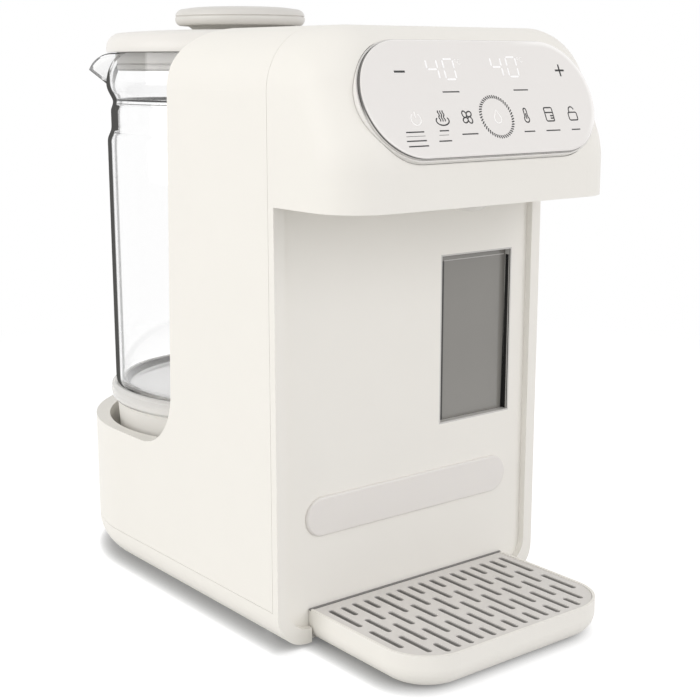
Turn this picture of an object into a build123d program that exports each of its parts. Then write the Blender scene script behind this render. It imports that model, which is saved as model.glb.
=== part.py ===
"""Countertop baby formula maker: a C-shaped housing with a glass jug in a well at the rear,
a tilted touch panel on the head, and a lift-off drip tray under the outlet.

Frame: millimetres, +Z up, front towards -Y, origin on the table under the middle of the footprint.
"""

import os
from math import cos, sin, sqrt, tan

from build123d import *

os.makedirs("parts", exist_ok=True)

# ---------------------------------------------------------------- driving dimensions
WIDTH = 170.0              # across the housing
DEPTH = 316.8              # front of the tray to the back of the ledge
HOUSING_TOP = 292.8        # flat top of the column and head
HEAD_BOTTOM = 213.7        # flat underside of the head
LEDGE_TOP = 79.2           # rim of the well behind the column
PAN_TOP = 20.4             # seam between the chassis pan and the outer cover
FLOOR_GAP = 2.0            # housing stands this high on its feet
WALL = 2.5                 # moulded wall of the casings
SEAM = 0.2                 # hairline gap between two casings
CLEAR = 0.3                # gap between pieces that part from each other

FRONT_Y = -80.0            # face of the front rim
SEAM_Y = FRONT_Y + 4.2     # vertical seam between front frame and outer cover
COLUMN_BACK_Y = 14.0       # foot of the column's flat back beside the niche
BACK_LEAN = 6.5            # the back leans forward by this much at the top
HEAD_FRONT_Y = -133.0      # lower front edge of the head
RECESS = 3.7               # depth of the front panel behind the rim
RIM = 6.0                  # width of the rim in front view

TOP_SIDE_R = 29.0          # rounding of the long top edges
TOP_BACK_R = 21.0          # rounding of the column's top rear
HEAD_EDGE_R = 24.0         # rounding of the head's front edges
COVE_R = 32.0              # hollow curve from column down to ledge
PAN_EDGE_R = 17.0          # rounding of the pan's lower edge

JUG_Y = 70.1               # axis of the jug and its well
WELL_R = 79.0
WELL_FLOOR = 56.0
WELL_TOP = LEDGE_TOP - WALL           # the liner ends under the ledge
VALVE_Y = JUG_Y - 35.1                # axis of the water socket and the jug's valve
SOCKET_R = 6.0

WELL_LEG_PLACES = [(-60.0, 60.0), (60.0, 60.0), (0.0, 138.0)]
WELL_LEG_R = 4.0

INLET_W, INLET_H = 24.0, 15.0         # mains inlet low in the rear wall
INLET_Z = 35.0
INLET_CORNER_R = 3.0

PANEL_TILT = 0.43          # lean of the touch panel, radians
PANEL_Y = -125.3
PANEL_Z = 261.5
PANEL_L = 141.2            # length of the glass
PANEL_H = 55.0             # its height, and twice the radius of its ends
PANEL_PROUD = 2.2          # glass face in front of the head's face

TRAY_W = 128.6
TRAY_TOP = 17.9
TRAY_CORNER_R = 24.4

OUTLET_Y = -116.0          # dispensing nozzle over the tray

HALF_W = WIDTH / 2
REAR_Y = DEPTH / 2
TRAY_FRONT_Y = -DEPTH / 2
BIG = 600.0


# ---------------------------------------------------------------- helpers
def save(shape, node):
    """Write one node as a plain compound of solids."""
    solids = shape.solids()
    export_step(solids[0] if len(solids) == 1 else Compound(solids), f"parts/{node}.step")


def at(x, y, z):
    return Pos(x, y, z)


def block(x0, x1, y0, y1, z0, z1):
    """Box from its low and high corners."""
    return at((x0 + x1) / 2, (y0 + y1) / 2, (z0 + z1) / 2) * Box(x1 - x0, y1 - y0, z1 - z0)


def rod(radius, z0, z1, x=0.0, y=0.0):
    """Upright cylinder between two heights."""
    return at(x, y, (z0 + z1) / 2) * Cylinder(radius, z1 - z0)


def ring(outer, inner, z0, z1, x=0.0, y=0.0):
    return rod(outer, z0, z1, x, y) - rod(inner, z0 - 1, z1 + 1, x, y)


def rod_x(radius, x0, x1, y, z):
    """Cylinder along X."""
    return at((x0 + x1) / 2, y, z) * Rot(0, 90, 0) * Cylinder(radius, x1 - x0)


def rod_y(radius, y0, y1, x, z):
    """Cylinder along Y."""
    return at(x, (y0 + y1) / 2, z) * Rot(90, 0, 0) * Cylinder(radius, y1 - y0)


def turned(points, x=0.0, y=0.0):
    """Solid of revolution about a vertical axis from (radius, height) points."""
    profile = Plane.XZ * make_face(Polyline(*points, close=True))
    return at(x, y, 0) * revolve(profile, Axis.Z)


def corner(face, x, y):
    """The vertex of a flat face nearest to a point of its plane."""
    return face.vertices().sort_by_distance((x, y, 0))[0]


def side_slab(outline, half_width):
    """Extrude an outline given in (Y, Z) equally to both sides of the middle plane."""
    return extrude(Plane.YZ * outline, amount=half_width, both=True)


def hose(points, radius, outer_r, inner_r):
    """Tube along straight runs joined by arcs."""
    path = FilletPolyline(*points, radius=radius)
    start = Plane(origin=path @ 0, z_dir=path % 0)
    tube = sweep(start * Circle(outer_r), path=path)
    return tube - sweep(start * Circle(inner_r), path=path)


# ---------------------------------------------------------------- housing forms
def footprint(inset, front):
    """Plan of the housing: straight sides and a half-round rear."""
    r = HALF_W - inset
    centre = REAR_Y - HALF_W
    sides = Polyline((-r, centre), (-r, front), (r, front), (r, centre))
    return make_face(sides + ThreePointArc((r, centre), (0, centre + r), (-r, centre)))


def cover_form(inset, front, bottom):
    """Column and ledge as one block, each face moved in by the inset."""
    top = HOUSING_TOP - inset
    back = COLUMN_BACK_Y - inset
    ledge = LEDGE_TOP - inset
    side = make_face(
        Polyline((front, bottom), (front, top), (back - BACK_LEAN, top), (back, ledge),
                 (REAR_Y + 1, ledge), (REAR_Y + 1, bottom), close=True)
    )
    side = fillet(corner(side, back - BACK_LEAN, top), TOP_BACK_R - inset)
    side = fillet(corner(side, back, ledge), COVE_R + inset)
    form = side_slab(side, HALF_W + 1)
    form &= extrude(footprint(inset, front), HOUSING_TOP + 1)
    arch_w = WIDTH - 2 * inset
    arch = RectangleRounded(arch_w, 2 * top, TOP_SIDE_R - inset)
    return form & extrude(Plane.XZ * arch, amount=BIG / 2, both=True)


def pan_form(inset, front, top):
    """Dish under the housing with a rounded lower edge at the sides and rear."""
    bottom = FLOOR_GAP + inset
    form = extrude(at(0, 0, bottom) * footprint(inset, front), top - bottom)
    low = form.edges().group_by(Axis.Z)[0]
    rounded = [e for e in low if e.center().Y > front + 1]
    return fillet(rounded, PAN_EDGE_R - inset)


def face_y(z, inset):
    """Y of the head's tilted face at a height, moved in by the inset."""
    back_off = PANEL_PROUD + inset
    y0 = PANEL_Y + back_off * cos(PANEL_TILT)
    z0 = PANEL_Z - back_off * sin(PANEL_TILT)
    return y0 + (z - z0) * tan(PANEL_TILT)


def head_form(inset, rear, bottom):
    """Head block: upright lip, face leaning back, all front edges rounded."""
    knee_r = 40.0
    front = HEAD_FRONT_Y + inset
    top = HOUSING_TOP - inset
    knee_z = HEAD_BOTTOM + (front - face_y(HEAD_BOTTOM, inset)) / tan(PANEL_TILT)
    side = make_face(
        Polyline((rear, bottom), (front, bottom), (front, knee_z),
                 (face_y(top, inset), top), (rear, top), close=True)
    )
    side = fillet(corner(side, front, knee_z), knee_r - inset)
    form = side_slab(side, HALF_W - inset)
    top_sides = form.edges().filter_by(Axis.Y).group_by(Axis.Z)[-1]
    form = fillet(top_sides, TOP_SIDE_R - inset)
    brow = form.edges().filter_by(Axis.X).group_by(Axis.Z)[-1].sort_by(Axis.Y)[0]
    return fillet(brow, HEAD_EDGE_R - inset)


PANEL = Plane(
    origin=(0, PANEL_Y, PANEL_Z),
    x_dir=(1, 0, 0),
    z_dir=(0, -cos(PANEL_TILT), sin(PANEL_TILT)),
)


def panel_stadium(grow, z0, z1):
    """Long pill in the touch panel's own plane, grown all round."""
    height = PANEL_H + 2 * grow
    pill = SlotOverall(PANEL_L + 2 * grow, height)
    return PANEL * extrude(at(0, 0, z0) * pill, z1 - z0)


def panel_block(u, v, length, height, z0, z1):
    return PANEL * at(u, v, (z0 + z1) / 2) * Box(length, height, z1 - z0)


# ---------------------------------------------------------------- chassis and front frame
SCREW_PLACES = [(-66.0, -58.0), (66.0, -58.0), (-57.2, 106.4), (57.2, 106.4)]
SCREW_R = 1.5
BOSS_H = 22.0
FOOT_PLACES = [(-58.0, -66.0), (58.0, -66.0), (-40.0, 118.0), (40.0, 118.0)]
FOOT_R = 7.0
FOOT_PEG_R = 2.0
FOOT_CHAMFER = 0.6
PLATE_Y = FRONT_Y + RECESS            # face of the recessed front panel
PLATE_BACK_Y = PLATE_Y + 2.4
RIM_FOOT = 7.5                        # height of the rim along the bottom

WINDOW_X0, WINDOW_X1 = 19.2, 68.4
WINDOW_Z0, WINDOW_Z1 = 96.0, 183.0

LIGHT_L, LIGHT_H = 131.8, 19.8
LIGHT_Z = 63.1

FAN_Y = 100.0
VENT_PITCH = 6.0


def chassis():
    """Pan, front rim and recessed front panel in one moulding."""
    body = pan_form(0, FRONT_Y, PAN_TOP)
    rim_face = make_face(
        Polyline((-HALF_W, FLOOR_GAP), (HALF_W, FLOOR_GAP), (HALF_W, HEAD_BOTTOM),
                 (-HALF_W, HEAD_BOTTOM), close=True)
    )
    for sign in (-1, 1):
        rim_face = fillet(corner(rim_face, sign * HALF_W, FLOOR_GAP), PAN_EDGE_R)
    rim = extrude(Plane(origin=(0, SEAM_Y, 0), x_dir=(1, 0, 0), z_dir=(0, -1, 0)) * rim_face,
                  SEAM_Y - FRONT_Y)
    hollow = pan_form(WALL, PLATE_BACK_Y, PAN_TOP + 5)
    inner_w = HALF_W - WALL - CLEAR
    panel = block(-inner_w, inner_w, SEAM_Y - 0.5, PLATE_BACK_Y, PAN_TOP - 6, HEAD_BOTTOM)
    lip = extrude(at(0, 0, PAN_TOP - 4) * (footprint(WALL + CLEAR, SEAM_Y)
                                           - footprint(WALL + CLEAR + 1.5, PLATE_BACK_Y)), 7)
    body = body - hollow + rim + panel
    body += lip & pan_form(WALL - 0.1, SEAM_Y, PAN_TOP + 3)
    recess_r = 13.0
    recess = make_face(
        Polyline((-HALF_W + RIM, FLOOR_GAP + RIM_FOOT), (HALF_W - RIM, FLOOR_GAP + RIM_FOOT),
                 (HALF_W - RIM, HEAD_BOTTOM + 1), (-HALF_W + RIM, HEAD_BOTTOM + 1), close=True)
    )
    for sign in (-1, 1):
        recess = fillet(corner(recess, sign * (HALF_W - RIM), FLOOR_GAP + RIM_FOOT), recess_r)
    body -= extrude(Plane(origin=(0, PLATE_Y, 0), x_dir=(1, 0, 0), z_dir=(0, -1, 0)) * recess, 20)
    body -= block(-TRAY_W / 2 - 0.7, TRAY_W / 2 + 0.7, FRONT_Y - 1, PLATE_Y, 0, TRAY_TOP)
    body -= block(WINDOW_X0, WINDOW_X1, FRONT_Y, 0, WINDOW_Z0, WINDOW_Z1)
    light = SlotOverall(LIGHT_L, LIGHT_H)
    body -= Plane(origin=(0, 0, LIGHT_Z), x_dir=(1, 0, 0), z_dir=(0, -1, 0)) * extrude(light, 100)
    for x, y in SCREW_PLACES:
        body += rod(5.5, FLOOR_GAP + WALL - 0.5, PAN_TOP, x, y)
        body -= rod(SCREW_R + 0.2, 0, PAN_TOP + 1, x, y) + rod(3.6, 0, 6.0, x, y)
    for x, y in FOOT_PLACES:
        body -= rod(FOOT_PEG_R, 0, 10, x, y)
    for k in range(-3, 4):
        reach = sqrt(26.0**2 - (k * VENT_PITCH) ** 2)
        vent = at(k * VENT_PITCH, FAN_Y, 0) * Rot(0, 0, 90) * SlotOverall(2 * reach, 3.0)
        body -= extrude(vent, 10)
    return body


def outer_cover():
    """Wrap-round shell: sides, top, column back with the niche, and the ledge round the well."""
    front = SEAM_Y + SEAM
    bottom = PAN_TOP + SEAM
    outside = cover_form(0, front, bottom)
    shell = outside - cover_form(WALL, front - 5, bottom - 5)
    shell += outside & ring(WELL_R + WALL, WELL_R, WELL_TOP, HOUSING_TOP + 1, 0, JUG_Y)
    shell -= rod(WELL_R, WELL_TOP - 1, HOUSING_TOP + 1, 0, JUG_Y)
    return shell - inlet_block(INLET_W, INLET_H, INLET_CORNER_R, REAR_Y - 20, REAR_Y + 5)


def well_liner():
    """Round well under the ledge that the jug stands in, open to the water socket."""
    room = cover_form(WALL, SEAM_Y, PAN_TOP)
    liner = ring(WELL_R + WALL, WELL_R, WELL_FLOOR - WALL, WELL_TOP, 0, JUG_Y)
    liner += rod(WELL_R + 1, WELL_FLOOR - WALL, WELL_FLOOR, 0, JUG_Y)
    return (liner & room) - rod(SOCKET_R, WELL_FLOOR - 10, WELL_FLOOR + 1, 0, VALVE_Y)


def well_legs():
    """Posts that carry the well on the floor of the pan."""
    return Compound([rod(WELL_LEG_R, FLOOR_GAP + WALL, WELL_FLOOR - WALL, x, y)
                     for x, y in WELL_LEG_PLACES])


def boss_brackets():
    """Screw bosses on webs that stand on the cover's inner walls."""
    bottom = PAN_TOP + SEAM
    room = cover_form(WALL, SEAM_Y, bottom)
    brackets = []
    for x, y in SCREW_PLACES:
        side = 1 if x > 0 else -1
        boss = rod(4.5, bottom, bottom + BOSS_H, x, y)
        web_end = side * (HALF_W - 1)
        boss += block(min(x, web_end), max(x, web_end), y - 1.25, y + 1.25, bottom + 3.3,
                      bottom + BOSS_H)
        brackets.append((boss & room) - rod(SCREW_R, bottom - 1, bottom + BOSS_H - 6, x, y))
    return Compound(brackets)


def inlet_block(width, height, corner_r, y0, y1):
    """Rounded bar through the rear wall at the mains inlet."""
    facing = Plane(origin=(0, y1, INLET_Z), x_dir=(1, 0, 0), z_dir=(0, -1, 0))
    return facing * extrude(RectangleRounded(width, height, corner_r), y1 - y0)


def mains_inlet():
    """Two-pin inlet for a detachable lead, with a flange behind the wall."""
    face_y, back_y = REAR_Y - 1.2, REAR_Y - 13.0
    flange_y, flange_t, flange_lip = REAR_Y - 5.2, 2.0, 3.0
    mouth_w, mouth_h, mouth_deep = 14.4, 8.6, 9.0
    pin_r, pin_x, pin_reach = 1.2, 4.3, 7.5
    body = inlet_block(INLET_W - CLEAR, INLET_H - CLEAR, INLET_CORNER_R, back_y, face_y)
    body += inlet_block(INLET_W + 2 * flange_lip, INLET_H + 2 * flange_lip, INLET_CORNER_R,
                        flange_y - flange_t, flange_y)
    body -= inlet_block(mouth_w, mouth_h, mouth_h / 2 - 0.1, face_y - mouth_deep, face_y + 1)
    for x in (-pin_x, pin_x):
        body += rod_y(pin_r, face_y - mouth_deep - 0.5, face_y - mouth_deep + pin_reach, x, INLET_Z)
    return body


def base_feet():
    feet = []
    for x, y in FOOT_PLACES:
        pad = rod(FOOT_R, 0, FLOOR_GAP, x, y)
        pad = chamfer(pad.edges().group_by(Axis.Z)[0], FOOT_CHAMFER)
        feet.append(pad + rod(FOOT_PEG_R, FLOOR_GAP, FLOOR_GAP + WALL + 1, x, y))
    return Compound(feet)


def pan_head_screw(x, y, seat, tip, shank_r, head_r, head_h):
    """Upright screw whose head sits below its seat height."""
    screw = rod(shank_r, seat, tip, x, y) + rod(head_r, seat - head_h, seat, x, y)
    return screw - block(x - head_r, x + head_r, y - 0.4, y + 0.4, seat - head_h - 1,
                         seat - head_h + 1)


def cover_screws():
    return Compound([pan_head_screw(x, y, 6.0, 34.0, SCREW_R, 3.2, 2.4)
                     for x, y in SCREW_PLACES])


# ---------------------------------------------------------------- head and touch panel
UNDERPLATE_T = 2.4
BEZEL_W = 0.9              # ring seen round the glass
BEZEL_FACE = -2.0          # its face, behind the face of the glass
BEZEL_LEDGE = 3.4
GLASS_GAP = 0.15
GLASS_DEEP = 3.0
GLASS_EDGE_R = 0.9
BOARD_FACE = -9.0
BOARD_T = 1.6
BOARD_SCREW_R = 1.1
BOARD_SCREWS = [(u, v) for u in (-42.0, 42.0) for v in (-26.2, 26.2)]


def head_cover():
    shell = head_form(0, SEAM_Y, HEAD_BOTTOM)
    shell -= head_form(WALL, SEAM_Y + 5, HEAD_BOTTOM - 5)
    return shell - panel_stadium(BEZEL_W + SEAM, -20, 10)


def head_underplate():
    """Flat plate that closes the head from below."""
    gap = WALL + SEAM
    half = HALF_W - gap
    front = HEAD_FRONT_Y + gap
    plate = make_face(Polyline((-half, front), (half, front), (half, SEAM_Y - SEAM),
                               (-half, SEAM_Y - SEAM), close=True))
    for sign in (-1, 1):
        plate = fillet(corner(plate, sign * half, front), HEAD_EDGE_R - gap)
    z0 = HEAD_BOTTOM + SEAM
    solid = extrude(at(0, 0, z0) * plate, UNDERPLATE_T)
    return solid - rod(9.0, z0 - 5, z0 + 9, 0, OUTLET_Y)


def nozzle():
    """Outlet spout: flange on the underplate, hose barb above, bevelled tip below."""
    z0 = HEAD_BOTTOM + SEAM + UNDERPLATE_T
    tip = HEAD_BOTTOM - 3.6
    bore = 2.5
    return turned([
        (bore, tip), (5.5, tip), (9.0, tip + 2.5), (9.0, z0), (13.0, z0), (13.0, z0 + 2),
        (4.5, z0 + 3.5), (3.0, z0 + 6), (3.5, z0 + 7), (3.0, z0 + 12), (bore, z0 + 12),
    ], 0, OUTLET_Y)


def control_bezel():
    """Thin ring round the glass with a ledge behind that carries the glass and the board."""
    frame = panel_stadium(BEZEL_W, BOARD_FACE, BEZEL_FACE)
    frame -= panel_stadium(GLASS_GAP, -GLASS_DEEP, 1)
    frame -= panel_stadium(-BEZEL_LEDGE, BOARD_FACE - 1, 1)
    for u, v in BOARD_SCREWS:
        frame -= PANEL * at(u, v, BOARD_FACE + 2.0) * Cylinder(BOARD_SCREW_R, 6.0)
    return frame


def control_glass():
    glass = panel_stadium(0, -GLASS_DEEP, 0)
    front_edges = [e for e in glass.edges() if abs((PANEL.to_local_coords(e.center())).Z) < 0.01]
    return fillet(front_edges, GLASS_EDGE_R)


def control_board():
    back = BOARD_FACE - BOARD_T
    board = panel_stadium(0, back, BOARD_FACE)
    for u, v in BOARD_SCREWS:
        board -= PANEL * at(u, v, BOARD_FACE) * Cylinder(BOARD_SCREW_R, 6.0)
    for u in (-58.0, -50.0, 50.0):
        board += panel_block(u, -4.0, 5.0, 9.0, back - 2.4, back)
    return board


def display_modules():
    """Two numeral displays that shine through the glass."""
    shown = []
    for u in (-22.0, 18.5):
        shown.append(panel_block(u, 13.0, 24.0, 13.0, BOARD_FACE, -GLASS_DEEP - 0.4))
    return Compound(shown)


def board_screws():
    screws = []
    for u, v in BOARD_SCREWS:
        back = BOARD_FACE - BOARD_T
        shank = PANEL * at(u, v, back + 3.2) * Cylinder(BOARD_SCREW_R, 6.4)
        screws.append(shank + PANEL * at(u, v, back - 0.8) * Cylinder(2 * BOARD_SCREW_R, 1.6))
    return Compound(screws)


# ---------------------------------------------------------------- front panel fittings
def night_light_lens():
    """Pill-shaped lens, a little proud of the front panel, with a flange behind."""
    facing = Plane(origin=(0, PLATE_Y, LIGHT_Z), x_dir=(1, 0, 0), z_dir=(0, -1, 0))
    proud = 1.5
    lens = facing * extrude(at(0, 0, -2.4) * SlotOverall(LIGHT_L, LIGHT_H), 2.4 + proud)
    front = lens.edges().group_by(Axis.Y)[0]
    lens = fillet(front, 1.2)
    flange = facing * extrude(at(0, 0, -4.0) * SlotOverall(LIGHT_L + 5, LIGHT_H + 5), 1.6)
    hollow = facing * extrude(at(0, 0, -5.0) * SlotOverall(LIGHT_L - 6, LIGHT_H - 6), 4.4)
    return lens + flange - hollow


def night_light_board():
    """LED strip behind the lens."""
    y0 = PLATE_Y + 4.0
    strip = block(-60, 60, y0, y0 + 1.6, LIGHT_Z - 9.0, LIGHT_Z + 9.0)
    for k in range(-3, 4):
        strip += block(k * 16 - 1.5, k * 16 + 1.5, y0 - 1.0, y0, LIGHT_Z - 1.5, LIGHT_Z + 1.5)
    return strip


WINDOW_DEEP = 3.9          # pane behind the front panel's face
WINDOW_RIM = 0.8
WINDOW_FLANGE = 3.0


def window_frame():
    """Square frame through the front panel with a step that holds the pane."""
    y0, y1 = PLATE_Y, PLATE_Y + WINDOW_DEEP + 2.0
    frame = block(WINDOW_X0, WINDOW_X1, y0, y1, WINDOW_Z0, WINDOW_Z1)
    frame += block(WINDOW_X0 - WINDOW_FLANGE, WINDOW_X1 + WINDOW_FLANGE, PLATE_BACK_Y, y1,
                   WINDOW_Z0 - WINDOW_FLANGE, WINDOW_Z1 + WINDOW_FLANGE)
    frame -= block(WINDOW_X0 + WINDOW_RIM, WINDOW_X1 - WINDOW_RIM, y0 - 1, y1 + 1,
                   WINDOW_Z0 + WINDOW_RIM, WINDOW_Z1 - WINDOW_RIM)
    seat = PLATE_Y + WINDOW_DEEP
    frame -= block(WINDOW_X0 - 1, WINDOW_X1 + 1, seat, y1 + 1, WINDOW_Z0 - 1, WINDOW_Z1 + 1)
    return frame


def level_window():
    seat = PLATE_Y + WINDOW_DEEP
    return block(WINDOW_X0 - 1, WINDOW_X1 + 1, seat, seat + 1.8, WINDOW_Z0 - 1, WINDOW_Z1 + 1)


# ---------------------------------------------------------------- inner water tank
TANK_X0, TANK_X1 = 15.0, 73.0
TANK_Y0, TANK_Y1 = -70.0, -28.0
TANK_Z0, TANK_Z1 = 90.0, 190.0
TANK_WALL = 2.0
TANK_IN = (28.0, -48.0)
TANK_HEAT = (52.0, -49.0)
TANK_OUT = (44.0, -48.0)


def inner_tank():
    """Clear tank whose level shows behind the window."""
    outer = block(TANK_X0, TANK_X1, TANK_Y0, TANK_Y1, TANK_Z0, TANK_Z1)
    outer = fillet(outer.edges().filter_by(Axis.Z), 6.0)
    inner = block(TANK_X0 + TANK_WALL, TANK_X1 - TANK_WALL, TANK_Y0 + TANK_WALL,
                  TANK_Y1 - TANK_WALL, TANK_Z0 + TANK_WALL, TANK_Z1 + 1)
    inner = fillet(inner.edges().filter_by(Axis.Z), 4.0)
    tank = outer - inner
    tank += rod(3.5, TANK_Z0 - 9, TANK_Z0 + 0.5, *TANK_IN)
    return tank - rod(2.2, TANK_Z0 - 10, TANK_Z0 + 5, *TANK_IN)


def inner_tank_lid():
    lid = block(TANK_X0, TANK_X1, TANK_Y0, TANK_Y1, TANK_Z1 + 1.2, TANK_Z1 + 3.7)
    lid = fillet(lid.edges().filter_by(Axis.Z), 6.0)
    lid += rod(3.5, TANK_Z1 + 3.6, TANK_Z1 + 14, *TANK_OUT)
    return lid - rod(2.2, TANK_Z1, TANK_Z1 + 15, *TANK_OUT)


def inner_tank_seal():
    seal = block(TANK_X0, TANK_X1, TANK_Y0, TANK_Y1, TANK_Z1, TANK_Z1 + 1.2)
    seal = fillet(seal.edges().filter_by(Axis.Z), 6.0)
    hole = block(TANK_X0 + TANK_WALL, TANK_X1 - TANK_WALL, TANK_Y0 + TANK_WALL,
                 TANK_Y1 - TANK_WALL, TANK_Z1 - 1, TANK_Z1 + 3)
    return seal - fillet(hole.edges().filter_by(Axis.Z), 4.0)


def tank_heater():
    """Cast plate with a ring element under the tank."""
    x, y = TANK_HEAT
    plate = rod(17.0, TANK_Z0 - 3, TANK_Z0, x, y)
    element = ring(15.0, 9.0, TANK_Z0 - 8, TANK_Z0 - 3, x, y)
    tabs = block(x - 14, x - 10, y - 0.5, y + 0.5, TANK_Z0 - 14, TANK_Z0 - 5)
    tabs += block(x + 10, x + 14, y - 0.5, y + 0.5, TANK_Z0 - 14, TANK_Z0 - 5)
    return plate + element + tabs


def thermostat():
    x, y = TANK_HEAT
    puck = rod(7.0, TANK_Z0 - 9, TANK_Z0 - 3, x, y)
    puck += block(x - 5, x - 4, y - 2, y + 2, TANK_Z0 - 15, TANK_Z0 - 9)
    return puck + block(x + 4, x + 5, y - 2, y + 2, TANK_Z0 - 15, TANK_Z0 - 9)


# ---------------------------------------------------------------- pump
PUMP_Y, PUMP_Z = -45.0, 27.0
PUMP_X = -30.0             # face between motor and volute
VOLUTE_R = 19.0
VOLUTE_W = 15.0
SHAFT_R = 1.5
RUNNING = 0.05             # radial play of a shaft in its bush


def pump_housing():
    """Volute with an axial inlet and an upright outlet."""
    x0, x1 = PUMP_X, PUMP_X + VOLUTE_W
    body = rod_x(VOLUTE_R, x0, x1, PUMP_Y, PUMP_Z)
    xm = (x0 + x1) / 2
    body += rod(4.5, PUMP_Z, PUMP_Z + VOLUTE_R + 4, xm, PUMP_Y - 12)
    body += rod(3.5, PUMP_Z + VOLUTE_R + 3, PUMP_Z + VOLUTE_R + 14, xm, PUMP_Y - 12)
    body += rod_x(3.5, x1 - 1, x1 + 9, PUMP_Y, PUMP_Z)
    body -= rod_x(VOLUTE_R - 2, x0 + 2, x1 - 2, PUMP_Y, PUMP_Z)
    body -= rod_x(2.2, x1 - 3, x1 + 12, PUMP_Y, PUMP_Z)
    body -= rod(2.2, PUMP_Z, PUMP_Z + VOLUTE_R + 20, xm, PUMP_Y - 12)
    return body - rod_x(SHAFT_R + RUNNING, x0 - 1, x0 + 3, PUMP_Y, PUMP_Z)


def pump_motor():
    can = rod_x(14.0, PUMP_X - 30, PUMP_X, PUMP_Y, PUMP_Z)
    return can - rod_x(SHAFT_R + RUNNING, PUMP_X - 24, PUMP_X + 1, PUMP_Y, PUMP_Z)


def pump_rotor():
    """Impeller of curved vanes on its shaft."""
    x0 = PUMP_X + 3.0
    wheel = rod_x(15.5, x0, x0 + 1.6, PUMP_Y, PUMP_Z) + rod_x(4.0, x0, x0 + 6, PUMP_Y, PUMP_Z)
    for k in range(6):
        arc = ThreePointArc((3.5, 0), (9.0, 3.2), (15.0, 3.0))
        vane = make_face(arc + Line((15.0, 3.0), (15.0, 4.4))
                         + ThreePointArc((15.0, 4.4), (8.8, 4.8), (3.0, 1.6))
                         + Line((3.0, 1.6), (3.5, 0)))
        spoke = Plane.YZ * Rot(0, 0, 60 * k) * vane
        wheel += at(x0, PUMP_Y, PUMP_Z) * extrude(spoke, 6.0)
    return wheel + rod_x(SHAFT_R, PUMP_X - 23, x0 + 1, PUMP_Y, PUMP_Z)


def pump_bracket():
    """Saddle that holds the motor off the pan."""
    x0, x1 = PUMP_X - 26, PUMP_X - 4
    saddle = block(x0, x1, PUMP_Y - 17, PUMP_Y + 17, FLOOR_GAP + WALL, PUMP_Z)
    saddle -= rod_x(14.0, x0 - 1, x1 + 1, PUMP_Y, PUMP_Z)
    return saddle - block(x0 + 3, x1 - 3, PUMP_Y - 20, PUMP_Y + 20, FLOOR_GAP + WALL + 2, 11.5)


# ---------------------------------------------------------------- fan
FAN_Z0 = 6.5
FAN_H = 15.0
FAN_HALF = 30.0


def fan_frame():
    frame = block(-FAN_HALF, FAN_HALF, FAN_Y - FAN_HALF, FAN_Y + FAN_HALF, FAN_Z0, FAN_Z0 + FAN_H)
    frame = fillet(frame.edges().filter_by(Axis.Z), 4.0)
    frame -= rod(28.0, 0, 60, 0, FAN_Y)
    hub = rod(10.0, FAN_Z0, FAN_Z0 + 2.5, 0, FAN_Y)
    for k in range(4):
        hub += at(0, FAN_Y, FAN_Z0 + 1.25) * Rot(0, 0, 45 + 90 * k) * at(18.5, 0, 0) * Box(20, 3, 2.5)
    hub += rod(4.0, FAN_Z0, FAN_Z0 + 9.0, 0, FAN_Y)
    frame += hub
    frame -= rod(1.0 + RUNNING, 0, 60, 0, FAN_Y)
    for sx in (-1, 1):
        for sy in (-1, 1):
            frame -= rod(1.8, 0, 60, sx * 25.0, FAN_Y + sy * 25.0)
            frame += ring(3.0, 1.8, FLOOR_GAP + WALL, FAN_Z0, sx * 25.0, FAN_Y + sy * 25.0)
    return frame


def fan_rotor():
    """Cupped hub with seven twisted blades."""
    z0 = FAN_Z0 + 3.2
    z1 = FAN_Z0 + FAN_H - 0.8
    rotor = rod(11.0, z0, z1, 0, FAN_Y) - rod(9.0, z0 - 1, z1 - 1.5, 0, FAN_Y)
    rotor += rod(1.0, FAN_Z0 + 1, z1 - 1, 0, FAN_Y)
    blades = 7
    for k in range(blades):
        low = at(0, 0, z0 + 0.6) * Rot(0, 0, -14) * at(18.4, 0, 0) * Rectangle(17.0, 1.4)
        high = at(0, 0, z1 - 0.6) * Rot(0, 0, 16) * at(18.4, 0, 0) * Rectangle(17.0, 1.4)
        blade = loft([low.face(), high.face()])
        blade -= rod(10.5, 0, 60)
        rotor += at(0, FAN_Y, 0) * Rot(0, 0, k * 360 / blades) * blade
    return rotor & rod(27.3, 0, 60, 0, FAN_Y)


# ---------------------------------------------------------------- electronics
def power_board():
    """Upright mains board in the column."""
    y = -60.0
    board = block(-79, -8, y, y + 1.6, 96, 178)
    board += block(-70, -46, y + 1.6, y + 20, 104, 130)
    board += block(-26, -16, y + 1.6, y + 12, 104, 120)
    for x, z in ((-36, 110), (-36, 124), (-20, 140)):
        board += rod_y(5.0, y + 1.6, y + 18, x, z)
    board += block(-74, -60, y + 1.6, y + 14, 150, 170)
    return board


def board_posts():
    """Posts between the front panel's back and the mains board."""
    posts = []
    for x in (-74.0, -13.0):
        for z in (100.0, 174.0):
            posts.append(rod_y(3.0, PLATE_BACK_Y, -60.0, x, z))
    return Compound(posts)


# ---------------------------------------------------------------- water path under the jug
SEAT_RING_R = 52.0


def water_coupling():
    """Socket in the well floor that the jug's valve drops over, with its lifting pin."""
    floor = WELL_FLOOR
    under = floor - WALL
    body = turned([
        (4.5, 46.0), (12.0, 46.0), (12.0, under), (6.0, under), (6.0, 59.0), (5.6, 59.0),
        (5.6, 60.8), (6.0, 60.8), (6.0, 62.0), (4.5, 62.0),
    ], 0, VALVE_Y)
    spider = block(-4.8, 4.8, VALVE_Y - 0.8, VALVE_Y + 0.8, 50.0, 52.0)
    body += spider + rod(1.5, 50.0, 59.2, 0, VALVE_Y)
    body += ring(12.0, 2.2, 43.5, 46.0, 0, VALVE_Y)
    return body + ring(3.5, 2.2, 32.0, 44.0, 0, VALVE_Y)


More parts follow.
